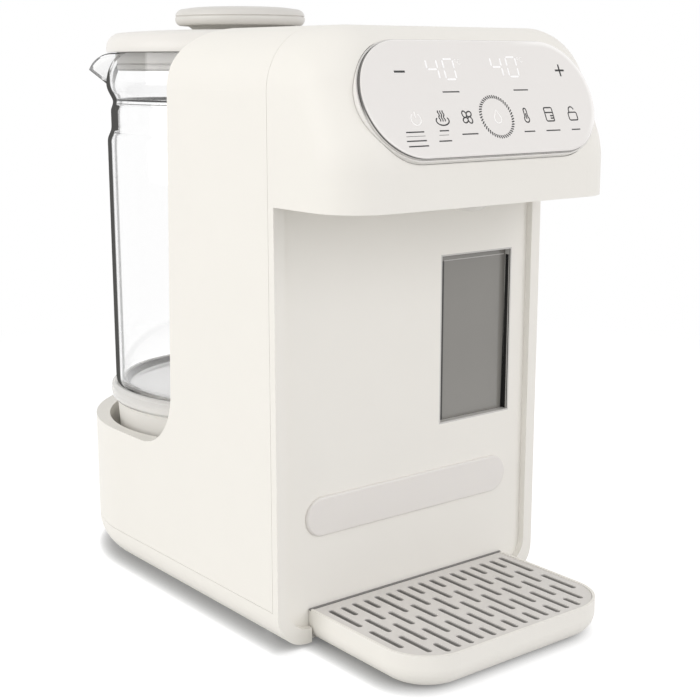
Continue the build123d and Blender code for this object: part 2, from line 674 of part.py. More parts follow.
def coupling_seal():
    return ring(7.0, 5.6, 59.0, 60.8, 0, VALVE_Y)


def seat_ring():
    """Soft ring that the jug stands on."""
    pad = ring(SEAT_RING_R + 3, SEAT_RING_R - 3, WELL_FLOOR, WELL_FLOOR + 0.9, 0, JUG_Y)
    return pad


HOSE_R, HOSE_BORE = 5.0, 3.5


def supply_hose():
    return hose([(0, VALVE_Y, 43.0), (0, VALVE_Y, 25.0), (14, PUMP_Y, PUMP_Z),
                 (PUMP_X + VOLUTE_W + 1.0, PUMP_Y, PUMP_Z)], 7.0, HOSE_R, HOSE_BORE)


def feed_hose():
    x = PUMP_X + VOLUTE_W / 2
    y = PUMP_Y - 12
    return hose([(x, y, PUMP_Z + VOLUTE_R + 4.2), (x, y, 70), (TANK_IN[0], TANK_IN[1], 70),
                 (TANK_IN[0], TANK_IN[1], TANK_Z0 - 0.5)], 9.0, HOSE_R, HOSE_BORE)


def delivery_hose():
    z0 = HEAD_BOTTOM + SEAM + UNDERPLATE_T + 5.3
    return hose([(0, OUTLET_Y, z0), (0, OUTLET_Y, 234), (TANK_OUT[0], TANK_OUT[1], 234),
                 (TANK_OUT[0], TANK_OUT[1], TANK_Z1 + 4.2)], 8.0, HOSE_R, HOSE_BORE)


# ---------------------------------------------------------------- jug
GLASS_R = 74.5
GLASS_T = 3.0
GLASS_Z0 = 92.0
NECK_R = 72.2
WAIST_R = 70.6
MOUTH_R = 74.2
MOUTH_Z = 281.4
SPOUT_TURN = 150.0         # bearing of the pouring lip, degrees from +X
SPOUT_REACH = 96.0         # reach that the lip's keel is aimed at, above the rim
SPOUT_TIP_R = 5.0
SPOUT_FOOT_Z = 265.0       # the lip fades into the mouth wall here
SHOULDER_Z = 235.5         # the body starts to narrow to the neck
NECK_RISE = 5.0            # height of the slope from body to neck
WAIST_Z = 255.5            # narrowest ring under the mouth
BOTTOM_T = 4.0
CUP_R = 74.0
CUP_Z0 = 57.2
CUP_TOP = 89.5


def jug_outline(shrink):
    """Half section of the vessel, its corners and shoulders rounded, moved in by the shrink."""
    wall, neck = GLASS_R - shrink, NECK_R - shrink
    waist, mouth = WAIST_R - shrink, MOUTH_R - shrink
    floor = GLASS_Z0 + (BOTTOM_T if shrink else 0.0)
    top = MOUTH_Z + (1.0 if shrink else 0.0)
    side = FilletPolyline(
        (0, floor), (wall, floor), (wall, SHOULDER_Z), (neck, SHOULDER_Z + NECK_RISE),
        (neck, WAIST_Z - 4.5), (waist, WAIST_Z), (mouth, WAIST_Z + 7.5), (mouth, top),
        radius=[10.0 - shrink, 8.0, 8.0, 5.0, 4.0, 10.0],
    )
    return make_face(side + Line((mouth, top), (0, top)) + Line((0, top), (0, floor)))


def spout_form(shrink):
    """Pinched pouring lip: mouth circle drawn out to a small round tip, fading into the waist."""
    sections = []
    for z, body_r, reach in ((SPOUT_FOOT_Z, MOUTH_R - 1, MOUTH_R - 0.2),
                             (MOUTH_Z + 1.6, MOUTH_R - 0.5, SPOUT_REACH)):
        tip_r = SPOUT_TIP_R - shrink
        outline = make_hull((Circle(body_r - shrink).edge(),
                             Pos(reach - SPOUT_TIP_R, 0) * Circle(tip_r).edge()))
        sections.append(at(0, 0, z) * outline)
    return Rot(0, 0, SPOUT_TURN) * loft([s.face() for s in sections], ruled=True)


def spout_rim():
    """Wedge above the lip, so that its rim slopes down to the tip."""
    start, tip, below = (70.0, MOUTH_Z), (83.4, 272.0), (86.5, 266.0)
    rim = ThreePointArc(start, (78.4, 278.4), tip) + Line(tip, below)
    far, top = 110.0, MOUTH_Z + 10.0
    slope = make_face(rim + Polyline(below, (far, below[1]), (far, top), (start[0], top), start))
    return Rot(0, 0, SPOUT_TURN) * extrude(Plane.XZ * slope, 60, both=True)


def jug_glass():
    """Thick-bottomed vessel with a stepped neck and a pouring lip."""
    body = revolve(Plane.XZ * jug_outline(0), Axis.Z) + spout_form(0)
    body -= revolve(Plane.XZ * jug_outline(GLASS_T), Axis.Z)
    body -= spout_form(GLASS_T - 0.6)
    body -= spout_rim() + rod(100, MOUTH_Z, 300)
    body -= rod(SOCKET_R, GLASS_Z0 - 10, GLASS_Z0 + 10, 0, VALVE_Y - JUG_Y)
    return at(0, JUG_Y, 0) * body


def jug_base():
    """Moulded cup under the glass, open at the top."""
    bottom_r = CUP_R - 1.6
    cup = turned([
        (0, CUP_Z0), (bottom_r - 3, CUP_Z0), (bottom_r, CUP_Z0 + 3), (CUP_R, CUP_TOP - 2),
        (CUP_R - 1.2, CUP_TOP), (CUP_R - 2.6, CUP_TOP), (CUP_R - 2.8, CUP_TOP - 3),
        (bottom_r - 2.6, CUP_Z0 + 5), (bottom_r - 5, CUP_Z0 + WALL), (0, CUP_Z0 + WALL),
    ], 0, JUG_Y)
    return cup - rod(11.5, CUP_Z0 - 1, CUP_Z0 + 6, 0, VALVE_Y)


def jug_riser():
    """Ring in the cup that the glass stands on."""
    return ring(62.0, 59.6, CUP_Z0 + WALL, GLASS_Z0, 0, JUG_Y)


def jug_collar():
    """Clear bead that joins the glass to the cup."""
    bead = turned([
        (66.0, CUP_TOP), (75.6, CUP_TOP), (77.0, CUP_TOP + 1.6), (77.4, CUP_TOP + 4.5),
        (77.0, CUP_TOP + 7.4), (75.4, CUP_TOP + 9.0), (66.0, CUP_TOP + 9.0),
    ], 0, JUG_Y)
    glass = revolve(Plane.XZ * jug_outline(0), Axis.Z)
    return bead - at(0, JUG_Y, 0) * glass


VALVE_SEAT = 70.0
WIRE = 0.7


def valve_body():
    """Valve barrel clamped through the glass bottom, skirt over the coupling."""
    z = VALVE_SEAT
    body = turned([
        (7.3, CUP_Z0 + 0.8), (10.0, CUP_Z0 + 0.8), (10.0, GLASS_Z0), (6.0, GLASS_Z0),
        (6.0, GLASS_Z0 + 4), (4.6, GLASS_Z0 + 4), (4.6, GLASS_Z0 - 2), (7.2, GLASS_Z0 - 4),
        (7.2, z), (3.6, z), (3.6, z - 4), (7.3, z - 4),
    ], 0, VALVE_Y)
    return body


def valve_plunger():
    """Mushroom that closes the outlet; the spring holds it on its seat."""
    z = VALVE_SEAT
    return turned([
        (0, 59.6), (1.6, 59.6), (2.0, 60.2), (2.0, z + 1.4), (6.0, z + 1.4), (6.0, z + 3.4),
        (2.0, z + 4.0), (2.0, z + 17.0), (0, z + 17.0),
    ], 0, VALVE_Y)


def valve_washer():
    z = VALVE_SEAT
    return ring(6.0, 2.0, z + 0.2, z + 1.4, 0, VALVE_Y)


def valve_retainer():
    """Spoked disc that guides the plunger and backs the spring."""
    z = VALVE_SEAT + 13.0
    disc = ring(7.2, 2.06, z, z + 2, 0, VALVE_Y)
    for k in range(4):
        disc -= at(0, VALVE_Y, z) * Rot(0, 0, 45 + 90 * k) * at(4.7, 0, 0) * Cylinder(1.2, 8)
    return disc


def valve_spring():
    """Square-wire spring between the plunger's shoulder and the retainer."""
    z0, z1, turns = VALVE_SEAT + 4.6, VALVE_SEAT + 12.4, 3
    coil = Helix(pitch=(z1 - z0) / turns, height=z1 - z0, radius=3.6)
    section = Plane(origin=coil @ 0, z_dir=coil % 0) * Rectangle(WIRE, WIRE)
    return at(0, VALVE_Y, z0) * sweep(section, path=coil, is_frenet=True)


# ---------------------------------------------------------------- jug lid
LID_R = 74.0
LID_Z = 282.0
KNOB_R = 35.6


def jug_lid():
    """Low dome with a skirt, hollow underneath, recessed for the knob's neck."""
    crown = 293.6
    edge = make_face(
        Line((0, LID_Z), (LID_R - 0.6, LID_Z))
        + ThreePointArc((LID_R - 0.6, LID_Z), (LID_R - 1.6, 288.2), (LID_R - 9.0, 292.2))
        + ThreePointArc((LID_R - 9.0, 292.2), (48.0, 293.3), (26.0, crown))
        + Line((26.0, crown), (0, crown)) + Line((0, crown), (0, LID_Z))
    )
    dome = revolve(Plane.XZ * edge, Axis.Z)
    dome -= turned([(0, LID_Z - 1), (65.5, LID_Z - 1), (65.5, LID_Z + 3), (60.0, 290.2), (0, 291.0)])
    dome += rod(6.0, LID_Z + 2, 291.5)
    dome -= rod(1.6, LID_Z, 300)
    return at(0, JUG_Y, 0) * dome


def lid_seal():
    """Grey plug that sits inside the mouth, with a sealing groove."""
    return turned([
        (62.0, 272.1), (67.0, 272.1), (68.0, 273.1), (68.0, 275.0), (67.2, 275.5), (68.0, 276.0),
        (68.0, LID_Z), (65.5, LID_Z), (65.5, LID_Z + 2.0), (62.6, LID_Z + 2.0),
    ], 0, JUG_Y)


def lid_knob():
    """Flat round knob on a flared neck, a fine joint line round its edge."""
    r = KNOB_R
    z = 293.75
    profile = make_face(
        Line((0, z), (26.0, z))
        + ThreePointArc((26.0, z), (28.2, 295.6), (33.4, 296.2))
        + ThreePointArc((33.4, 296.2), (r - 0.5, 297.6), (r, 300.6))
        + Line((r, 300.6), (r - 0.5, 301.0)) + Line((r - 0.5, 301.0), (r, 301.4))
        + ThreePointArc((r, 301.4), (r - 1.3, 303.8), (r - 4.6, 305.0))
        + ThreePointArc((r - 4.6, 305.0), (r - 9.0, 305.7), (r - 14.0, 306.0))
        + Line((r - 14.0, 306.0), (0, 306.0)) + Line((0, 306.0), (0, z))
    )
    knob = revolve(Plane.XZ * profile, Axis.Z)
    knob -= ring(24.0, 5.0, z - 1, 303.0)
    knob -= rod(1.6, z - 1, 302.0)
    return at(0, JUG_Y, 0) * knob


def knob_screw():
    screw = rod(1.6, LID_Z + 2.0, 301.0) + rod(3.4, LID_Z - 0.4, LID_Z + 2.0)
    return at(0, JUG_Y, 0) * screw


# ---------------------------------------------------------------- drip tray
TRAY_BACK_Y = PLATE_Y - CLEAR
TRAY_Z0 = 0.6
TRAY_WALL = 1.4
TRAY_LEDGE = 3.4           # inner face of the dish, which leaves a ledge under the grille
TRAY_EDGE_R = 10.0         # rounding of the lower edge
GRILLE_T = 2.6
GRILLE_DROP = 0.35         # grille sits this far below the tray's rim
SLOT_W = 3.1
SLOT_PITCH = 7.15
SLOT_COLUMNS = 17
SLOT_FIRST_Y = TRAY_BACK_Y - 7.0


def tray_plan(inset):
    half = TRAY_W / 2 - inset
    front, back = TRAY_FRONT_Y + inset, TRAY_BACK_Y - inset
    face = make_face(Polyline((-half, back), (-half, front), (half, front), (half, back), close=True))
    for sign in (-1, 1):
        face = fillet(corner(face, sign * half, front), TRAY_CORNER_R - inset)
    return face


def tray_form(inset, z0, top, edge_r):
    """Tray block whose lower edges are rounded, except at its flat back."""
    form = extrude(at(0, 0, z0) * tray_plan(inset), top - z0)
    back = TRAY_BACK_Y - inset
    low = [e for e in form.edges().group_by(Axis.Z)[0] if e.center().Y < back - 0.5]
    return fillet(low, edge_r)


def drip_tray():
    """Shallow dish with a thin rim, a ledge for the grille and a rounded underside."""
    tray = tray_form(0, TRAY_Z0, TRAY_TOP, TRAY_EDGE_R)
    tray -= extrude(at(0, 0, TRAY_TOP - GRILLE_DROP - GRILLE_T) * tray_plan(TRAY_WALL), 20)
    tray -= tray_form(TRAY_LEDGE, TRAY_Z0 + 2.0, TRAY_TOP + 1, TRAY_EDGE_R - 2.5)
    return tray


def slot_runs(column):
    """Start distance and length of each slot in a column, front to back pattern."""
    if column % 2 == 0:
        return [(0.0, 25.0), (31.0, 23.6), (59.6, 11.0)]
    return [(0.4, 12.4), (19.0, 18.8), (43.6, 26.2)]


def drip_grille():
    """Plate with staggered rows of long and short round-ended slots."""
    z0 = TRAY_TOP - GRILLE_DROP - GRILLE_T
    plate = extrude(at(0, 0, z0) * tray_plan(TRAY_WALL + 0.2), GRILLE_T)
    slots = []
    for column in range(SLOT_COLUMNS):
        x = (column - (SLOT_COLUMNS - 1) / 2) * SLOT_PITCH
        runs = slot_runs(column)
        outermost = column in (0, SLOT_COLUMNS - 1)
        second = column in (1, SLOT_COLUMNS - 2)
        for start, length in runs[:2] if outermost else runs:
            if second and start > 40:
                length -= 4.0
            y = SLOT_FIRST_Y - start - length / 2
            slots.append(at(x, y, 0) * Rot(0, 0, 90) * SlotOverall(length, SLOT_W))
    return plate - at(0, 0, z0 - 1) * extrude(Sketch() + slots, GRILLE_T + 2)


# ---------------------------------------------------------------- all nodes
NODES = {
    "chassis": chassis,
    "outer_cover": outer_cover,
    "well_liner": well_liner,
    "well_legs": well_legs,
    "boss_brackets": boss_brackets,
    "mains_inlet": mains_inlet,
    "base_feet": base_feet,
    "cover_screws": cover_screws,
    "head_cover": head_cover,
    "head_underplate": head_underplate,
    "nozzle": nozzle,
    "control_bezel": control_bezel,
    "control_glass": control_glass,
    "control_board": control_board,
    "display_modules": display_modules,
    "board_screws": board_screws,
    "night_light_lens": night_light_lens,
    "night_light_board": night_light_board,
    "window_frame": window_frame,
    "level_window": level_window,
    "inner_tank": inner_tank,
    "inner_tank_lid": inner_tank_lid,
    "inner_tank_seal": inner_tank_seal,
    "tank_heater": tank_heater,
    "thermostat": thermostat,
    "pump_housing": pump_housing,
    "pump_motor": pump_motor,
    "pump_rotor": pump_rotor,
    "pump_bracket": pump_bracket,
    "fan_frame": fan_frame,
    "fan_rotor": fan_rotor,
    "power_board": power_board,
    "board_posts": board_posts,
    "water_coupling": water_coupling,
    "coupling_seal": coupling_seal,
    "seat_ring": seat_ring,
    "supply_hose": supply_hose,
    "feed_hose": feed_hose,
    "delivery_hose": delivery_hose,
    "jug_glass": jug_glass,
    "jug_base": jug_base,
    "jug_riser": jug_riser,
    "jug_collar": jug_collar,
    "valve_body": valve_body,
    "valve_plunger": valve_plunger,
    "valve_washer": valve_washer,
    "valve_retainer": valve_retainer,
    "valve_spring": valve_spring,
    "jug_lid": jug_lid,
    "lid_seal": lid_seal,
    "lid_knob": lid_knob,
    "knob_screw": knob_screw,
    "drip_tray": drip_tray,
    "drip_grille": drip_grille,
}

if __name__ == "__main__":
    for node, make in NODES.items():
        save(make(), node)
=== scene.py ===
# %% [markdown]
# # A countertop baby formula maker, from bare CAD to a studio portrait
#
# The machine is a warm white C-shaped housing with a glass jug in a well behind it, a long
# pill-shaped touch panel on its leaning brow, and a slotted drip tray under the outlet.
# The shapes come from a CAD model that is loaded as a fixed frame. Blender adds
# what CAD does not have: surface finishes, printed marks, the smoked pane, the solder on
# the boards, and light.

# %% Load the frame
from math import cos, radians, sin, tau

import bmesh
import bpy
from mathutils import Matrix, Vector


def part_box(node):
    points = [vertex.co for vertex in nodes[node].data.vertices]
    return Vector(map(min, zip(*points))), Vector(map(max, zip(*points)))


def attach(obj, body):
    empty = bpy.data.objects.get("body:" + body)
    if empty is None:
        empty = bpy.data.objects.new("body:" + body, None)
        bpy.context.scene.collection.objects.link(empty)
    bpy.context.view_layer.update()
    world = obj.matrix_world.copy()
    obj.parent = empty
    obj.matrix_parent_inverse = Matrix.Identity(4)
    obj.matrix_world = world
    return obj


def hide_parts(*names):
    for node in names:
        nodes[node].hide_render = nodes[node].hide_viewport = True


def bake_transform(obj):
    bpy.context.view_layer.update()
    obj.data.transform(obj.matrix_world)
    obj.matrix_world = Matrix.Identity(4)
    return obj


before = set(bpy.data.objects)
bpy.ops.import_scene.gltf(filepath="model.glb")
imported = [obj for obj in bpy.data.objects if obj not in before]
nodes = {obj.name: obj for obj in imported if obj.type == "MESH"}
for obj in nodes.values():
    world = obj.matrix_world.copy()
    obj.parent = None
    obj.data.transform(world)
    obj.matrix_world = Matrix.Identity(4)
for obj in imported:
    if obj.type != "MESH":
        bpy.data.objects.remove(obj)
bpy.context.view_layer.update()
MM = 0.001
scene = bpy.context.scene

# %% [markdown]
# ## The camera
#
# The portrait looks a little down on the machine from its left front corner, through a
# longer lens so that the upright edges stay nearly upright. A direction is easier to
# reason about than Euler angles, so the camera is turned with `to_track_quat`.

# %% Place the camera
CAMERA_PLACE = Vector((-430.586, -570.494, 277.077)) * MM
CAMERA_BEARING, CAMERA_DIP = 0.6705, 0.2102
LENS_MM, SENSOR_MM = 69.59, 36.0

camera_data = bpy.data.cameras.new("portrait_camera")
camera_data.lens = LENS_MM
camera_data.sensor_width = SENSOR_MM
camera = bpy.data.objects.new("portrait_camera", camera_data)
scene.collection.objects.link(camera)
look = Vector((sin(CAMERA_BEARING) * cos(CAMERA_DIP), cos(CAMERA_BEARING) * cos(CAMERA_DIP),
               -sin(CAMERA_DIP)))
camera.location = CAMERA_PLACE
camera.rotation_euler = look.to_track_quat("-Z", "Y").to_euler()
scene.camera = camera
print("camera", round(CAMERA_PLACE.length, 3), "m from the part's origin")

# %% [markdown]
# ## The studio
#
# Product pictures of white goods need a white surround that does not wash the object out.
# The trick is the Light Path node: a ray that comes straight from the camera, a mirror
# reflection or clear glass sees plain white, while the rays that light the object meet a
# dimmer sky. That even sky gives most of the light, so a rounded corner is no brighter
# than its sides. A broad lamp on the left and a weaker one in front set the sides apart.
#
# The floor bounces light like grey card, but a direct look finds it white, with a shadow
# only within a centimetre of the machine. An Ambient Occlusion node gives that shadow. Its
# normal leans to the front right, so the spots on the left see the most of the machine.

# %% A small kit for node trees
def node(tree, kind, **values):
    """A new shader or geometry node; each value is a property, or a socket by name."""
    made = tree.nodes.new(kind)
    for name, value in values.items():
        if hasattr(made, name):
            setattr(made, name, value)
        else:
            made.inputs[name.replace("_", " ")].default_value = value
    return made


def level(tree, value, low, high):
    """0 below low, 1 above high, a smooth step between; low may be above high."""
    step = node(tree, "ShaderNodeMapRange", interpolation_type="SMOOTHSTEP")
    step.inputs["From Min"].default_value = low
    step.inputs["From Max"].default_value = high
    tree.links.new(value, step.inputs["Value"])
    return step.outputs["Result"]


def joined(tree, operation, *values):
    """A Math node over sockets and plain numbers."""
    made = node(tree, "ShaderNodeMath", operation=operation)
    for socket, value in zip(made.inputs, values):
        if isinstance(value, float):
            socket.default_value = value
        else:
            tree.links.new(value, socket)
    return made.outputs[0]


def seen_directly(tree):
    """1 for rays from the camera, from gloss and through glass; 0 for the light's rays."""
    path = node(tree, "ShaderNodeLightPath").outputs
    either = joined(tree, "MAXIMUM", path["Is Camera Ray"], path["Is Glossy Ray"])
    return joined(tree, "MAXIMUM", either, path["Is Transmission Ray"])


# %% Sky
SKY_LIGHT = 0.70

world = bpy.data.worlds.new("studio")
scene.world = world
world.use_nodes = True
sky = world.node_tree
sky.nodes.clear()
dim = node(sky, "ShaderNodeBackground", Color=(1.0, 0.99, 0.975, 1), Strength=SKY_LIGHT)
white = node(sky, "ShaderNodeBackground", Color=(1, 1, 1, 1))
choose = node(sky, "ShaderNodeMixShader")
out = node(sky, "ShaderNodeOutputWorld")
sky.links.new(seen_directly(sky), choose.inputs[0])
sky.links.new(dim.outputs[0], choose.inputs[1])
sky.links.new(white.outputs[0], choose.inputs[2])
sky.links.new(choose.outputs[0], out.inputs[0])
print("sky light", SKY_LIGHT)

# %% A floor that keeps only the shadow close to the machine
SHADOW_REACH, SHADOW_DEPTH = 10 * MM, 1.6
SHADOW_LEAN = Vector((0.55, -0.62, 0.56))
FLOOR_GLOW = 0.90
FADE_START, FADE_END = 0.40, 0.75
FLOOR_REACH = 30.0

floor_finish = bpy.data.materials.new("studio_floor")
floor_finish.use_nodes = True
tree = floor_finish.node_tree
tree.nodes.clear()
bounce = node(tree, "ShaderNodeBsdfDiffuse", Color=(0.70, 0.70, 0.695, 1))
shaded = node(tree, "ShaderNodeBsdfDiffuse", Color=(0.26, 0.26, 0.258, 1))
nook = node(tree, "ShaderNodeAmbientOcclusion", samples=16, Distance=SHADOW_REACH)
nook_side = node(tree, "ShaderNodeCombineXYZ", X=SHADOW_LEAN.x, Y=SHADOW_LEAN.y, Z=SHADOW_LEAN.z)
shade = joined(tree, "POWER", nook.outputs["AO"], SHADOW_DEPTH)
glow = node(tree, "ShaderNodeEmission", Color=(1, 1, 1, 1))
lifted = node(tree, "ShaderNodeAddShader")
far_white = node(tree, "ShaderNodeEmission", Color=(1, 1, 1, 1))
place = node(tree, "ShaderNodeTexCoord")
reach = node(tree, "ShaderNodeVectorMath", operation="LENGTH")
ground = node(tree, "ShaderNodeMixShader")
choose = node(tree, "ShaderNodeMixShader")
out = node(tree, "ShaderNodeOutputMaterial")
link = tree.links.new
link(nook_side.outputs[0], nook.inputs["Normal"])
link(joined(tree, "MULTIPLY", shade, FLOOR_GLOW), glow.inputs["Strength"])
link(shaded.outputs[0], lifted.inputs[0])
link(glow.outputs[0], lifted.inputs[1])
link(place.outputs["Object"], reach.inputs[0])
link(level(tree, reach.outputs["Value"], FADE_START, FADE_END), ground.inputs[0])
link(lifted.outputs[0], ground.inputs[1])
link(far_white.outputs[0], ground.inputs[2])
link(seen_directly(tree), choose.inputs[0])
link(bounce.outputs[0], choose.inputs[1])
link(ground.outputs[0], choose.inputs[2])
link(choose.outputs[0], out.inputs[0])

floor_mesh = bpy.data.meshes.new("studio_floor")
floor_mesh.from_pydata([(x * FLOOR_REACH, y * FLOOR_REACH, 0)
                        for x, y in ((-1, -1), (1, -1), (1, 1), (-1, 1))], [], [(0, 1, 2, 3)])
floor_mesh.materials.append(floor_finish)
floor = bpy.data.objects.new("studio_floor", floor_mesh)
scene.collection.objects.link(floor)
print("floor", FLOOR_REACH, "m to each side")

# %% Lamps
def soft_lamp(name, place, aim, side, watts, tint):
    """Square area lamp that points at a spot on the machine."""
    data = bpy.data.lights.new(name, "AREA")
    data.shape = "SQUARE"
    data.size = side
    data.energy = watts
    data.color = tint
    lamp = bpy.data.objects.new(name, data)
    scene.collection.objects.link(lamp)
    lamp.location = place
    lamp.rotation_euler = (Vector(aim) - Vector(place)).to_track_quat("-Z", "Y").to_euler()
    print(name, watts, "W")


MIDDLE = (0.0, 0.0, 0.15)
soft_lamp("key_from_left", (-2.2, 0.4, 0.85), MIDDLE, 1.8, 24.2, (1.0, 0.985, 0.97))
soft_lamp("fill_from_front", (0.8, -2.2, 1.0), MIDDLE, 1.8, 18.3, (0.985, 0.97, 1.0))
soft_lamp("top_light", (0.0, 0.2, 2.4), MIDDLE, 1.6, 0.3, (1.0, 1.0, 1.0))

# %% [markdown]
# ## Moulded plastic
#
# Most of the machine is injection-moulded plastic. A real moulding is never one flat
# colour: the melt leaves faint clouds, the tool's spark-eroded skin leaves a fine grain,
# and handling polishes it unevenly. Three noises at three scales give that: one over
# centimetres for the tint, one over millimetres for the polish, one finer than half a
# millimetre for the grain. All read Object coordinates, so they stay put on each piece.

# %% Helpers for masks
def product(tree, *masks):
    """Masks multiplied together."""
    result = masks[0]
    for mask in masks[1:]:
        result = joined(tree, "MULTIPLY", result, mask)
    return result


def band(tree, value, low, high, soft):
    """1 between low and high with soft borders, 0 elsewhere."""
    return product(tree, level(tree, value, low - soft, low + soft),
                   level(tree, value, high + soft, high - soft))


def toward(tree, vector, way):
    """How far a vector goes in a fixed direction."""
    made = node(tree, "ShaderNodeVectorMath", operation="DOT_PRODUCT")
    made.inputs[1].default_value = way
    tree.links.new(vector, made.inputs[0])
    return made.outputs["Value"]


def spot(tree):
    """Object coordinates of a spot, as a vector and as X, Y and Z, and its normal."""
    coords = node(tree, "ShaderNodeTexCoord")
    parts = node(tree, "ShaderNodeSeparateXYZ")
    tree.links.new(coords.outputs["Object"], parts.inputs[0])
    return coords.outputs["Object"], parts.outputs, coords.outputs["Normal"]


def overlaid(tree, mask, colour):
    """Lays another base colour over the one that a material has, where the mask is 1."""
    shader = tree.nodes["Principled BSDF"]
    mix = node(tree, "ShaderNodeMix", data_type="RGBA")
    mix.inputs["B"].default_value = (*colour, 1)
    tree.links.new(shader.inputs["Base Color"].links[0].from_socket, mix.inputs["A"])
    tree.links.new(mask, mix.inputs["Factor"])
    tree.links.new(mix.outputs["Result"], shader.inputs["Base Color"])


# %% A finish with clouds, polish and grain
def finish(name, base, roughness, clouds=0.03, polish=0.06, grain=0.05, grain_size=0.35,
           **sockets):
    """Principled material with tint clouds, uneven polish and a fine bump."""
    made = bpy.data.materials.new(name)
    made.use_nodes = True
    tree = made.node_tree
    shader = tree.nodes["Principled BSDF"]
    for socket, value in sockets.items():
        shader.inputs[socket.replace("_", " ")].default_value = value
    coords = node(tree, "ShaderNodeTexCoord")
    place = coords.outputs["Object"]

    cloud = node(tree, "ShaderNodeTexNoise", Scale=28.0, Detail=3.0, Roughness=0.55)
    tint = node(tree, "ShaderNodeMix", data_type="RGBA")
    light = [min(1.0, c * (1 + clouds)) for c in base]
    dark = [c * (1 - clouds) for c in base]
    tint.inputs["A"].default_value = (*dark, 1)
    tint.inputs["B"].default_value = (*light, 1)
    tree.links.new(place, cloud.inputs["Vector"])
    tree.links.new(cloud.outputs["Fac"], tint.inputs["Factor"])
    tree.links.new(tint.outputs["Result"], shader.inputs["Base Color"])

    rub = node(tree, "ShaderNodeTexNoise", Scale=160.0, Detail=4.0, Roughness=0.6)
    span = node(tree, "ShaderNodeMapRange")
    span.inputs["To Min"].default_value = max(0.0, roughness - polish)
    span.inputs["To Max"].default_value = min(1.0, roughness + polish)
    tree.links.new(place, rub.inputs["Vector"])
    tree.links.new(rub.outputs["Fac"], span.inputs["Value"])
    tree.links.new(span.outputs["Result"], shader.inputs["Roughness"])

    if grain:
        fine = node(tree, "ShaderNodeTexNoise", Scale=1000.0 / grain_size, Detail=2.0)
        bump = node(tree, "ShaderNodeBump", Strength=grain, Distance=0.0001)
        tree.links.new(place, fine.inputs["Vector"])
        tree.links.new(fine.outputs["Fac"], bump.inputs["Height"])
        tree.links.new(bump.outputs["Normal"], shader.inputs["Normal"])
    return made


def dress(material, *names):
    """Gives carried-over CAD nodes a material through their own slots."""
    for name in names:
        slots = nodes[name].material_slots
        if not slots:
            nodes[name].data.materials.append(material)
        for slot in nodes[name].material_slots:
            slot.material = material
    print(material.name, "on", len(names))


# %% Casing, lid and lens
WARM_WHITE = (0.87, 0.852, 0.805)
casing = finish("warm_white_casing", WARM_WHITE, 0.45, clouds=0.012, Specular_IOR_Level=0.3)
dress(casing, "outer_cover", "head_cover", "chassis", "well_liner")
inner_moulding = finish("plain_white_moulding", (0.80, 0.78, 0.74), 0.5)
dress(inner_moulding, "head_underplate", "well_legs", "boss_brackets", "jug_riser", "nozzle",
      "pump_bracket", "board_posts")
lid_finish = finish("lid_white", (0.82, 0.80, 0.765), 0.4, clouds=0.012)
dress(lid_finish, "jug_lid")
# painted shade: the knob is the lid's white plastic, painted darker for the light it gets
knob_shaded_finish = finish("knob_white_painted_shade", (0.67, 0.655, 0.625), 0.4, clouds=0.012)
dress(knob_shaded_finish, "lid_knob")
cup_finish = finish("cup_grey", (0.77, 0.755, 0.72), 0.48)
dress(cup_finish, "jug_base")
lens_finish = finish("night_light_lens", (0.80, 0.775, 0.745), 0.32, clouds=0.01,
                     Subsurface_Weight=0.15, Subsurface_Radius=(0.004, 0.004, 0.0035))
dress(lens_finish, "night_light_lens")

# %% [markdown]
# ## Tray and grille
#
# Light does not reach far into narrow slots. The plate's own height tells where a slot's
# wall begins, and painted shade darkens the plate below its face and the dish under the
# plate too. The dish's back rim stands close to the front panel and gets a painted dark
# line for the shade of that gap.

# %% Grille and dish
grille_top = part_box("drip_grille")[1].z
tray_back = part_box("drip_tray")[1].y

grille_finish = finish("grille_grey", (0.71, 0.69, 0.665), 0.5)
tree = grille_finish.node_tree
_, parts, _ = spot(tree)
# painted shade in the slots: the plate is darker below its face
overlaid(tree, level(tree, parts["Z"], grille_top - 0.4 * MM, grille_top - 0.9 * MM),
         (0.34, 0.33, 0.32))
dress(grille_finish, "drip_grille")

tray_finish = finish("tray_white", WARM_WHITE, 0.45, clouds=0.012, Specular_IOR_Level=0.3)
tree = tray_finish.node_tree
_, parts, normal = spot(tree)
# painted shade: the dish's floor under the plate, and a dark line on its back rim beside the front
# panel
dish_floor_painted_shade = product(tree, level(tree, toward(tree, normal, (0, 0, 1)), 0.5, 0.8),
                     level(tree, parts["Z"], grille_top - 3.0 * MM, grille_top - 5.0 * MM))
back_rim_painted_shade = product(tree, level(tree, parts["Y"], tray_back - 1.9 * MM, tray_back - 1.4 * MM),
                   level(tree, parts["Z"], grille_top - 0.8 * MM, grille_top - 0.2 * MM))
overlaid(tree, dish_floor_painted_shade, (0.36, 0.35, 0.34))
overlaid(tree, back_rim_painted_shade, (0.22, 0.215, 0.21))
dress(tray_finish, "drip_tray")

# %% [markdown]
# ## Rubber, metal and boards
#
# The seals are soft and dull, the screws and spring are bright steel, and the heater is
# cast alloy. Most of these hide inside, but a model that comes apart shows them all.

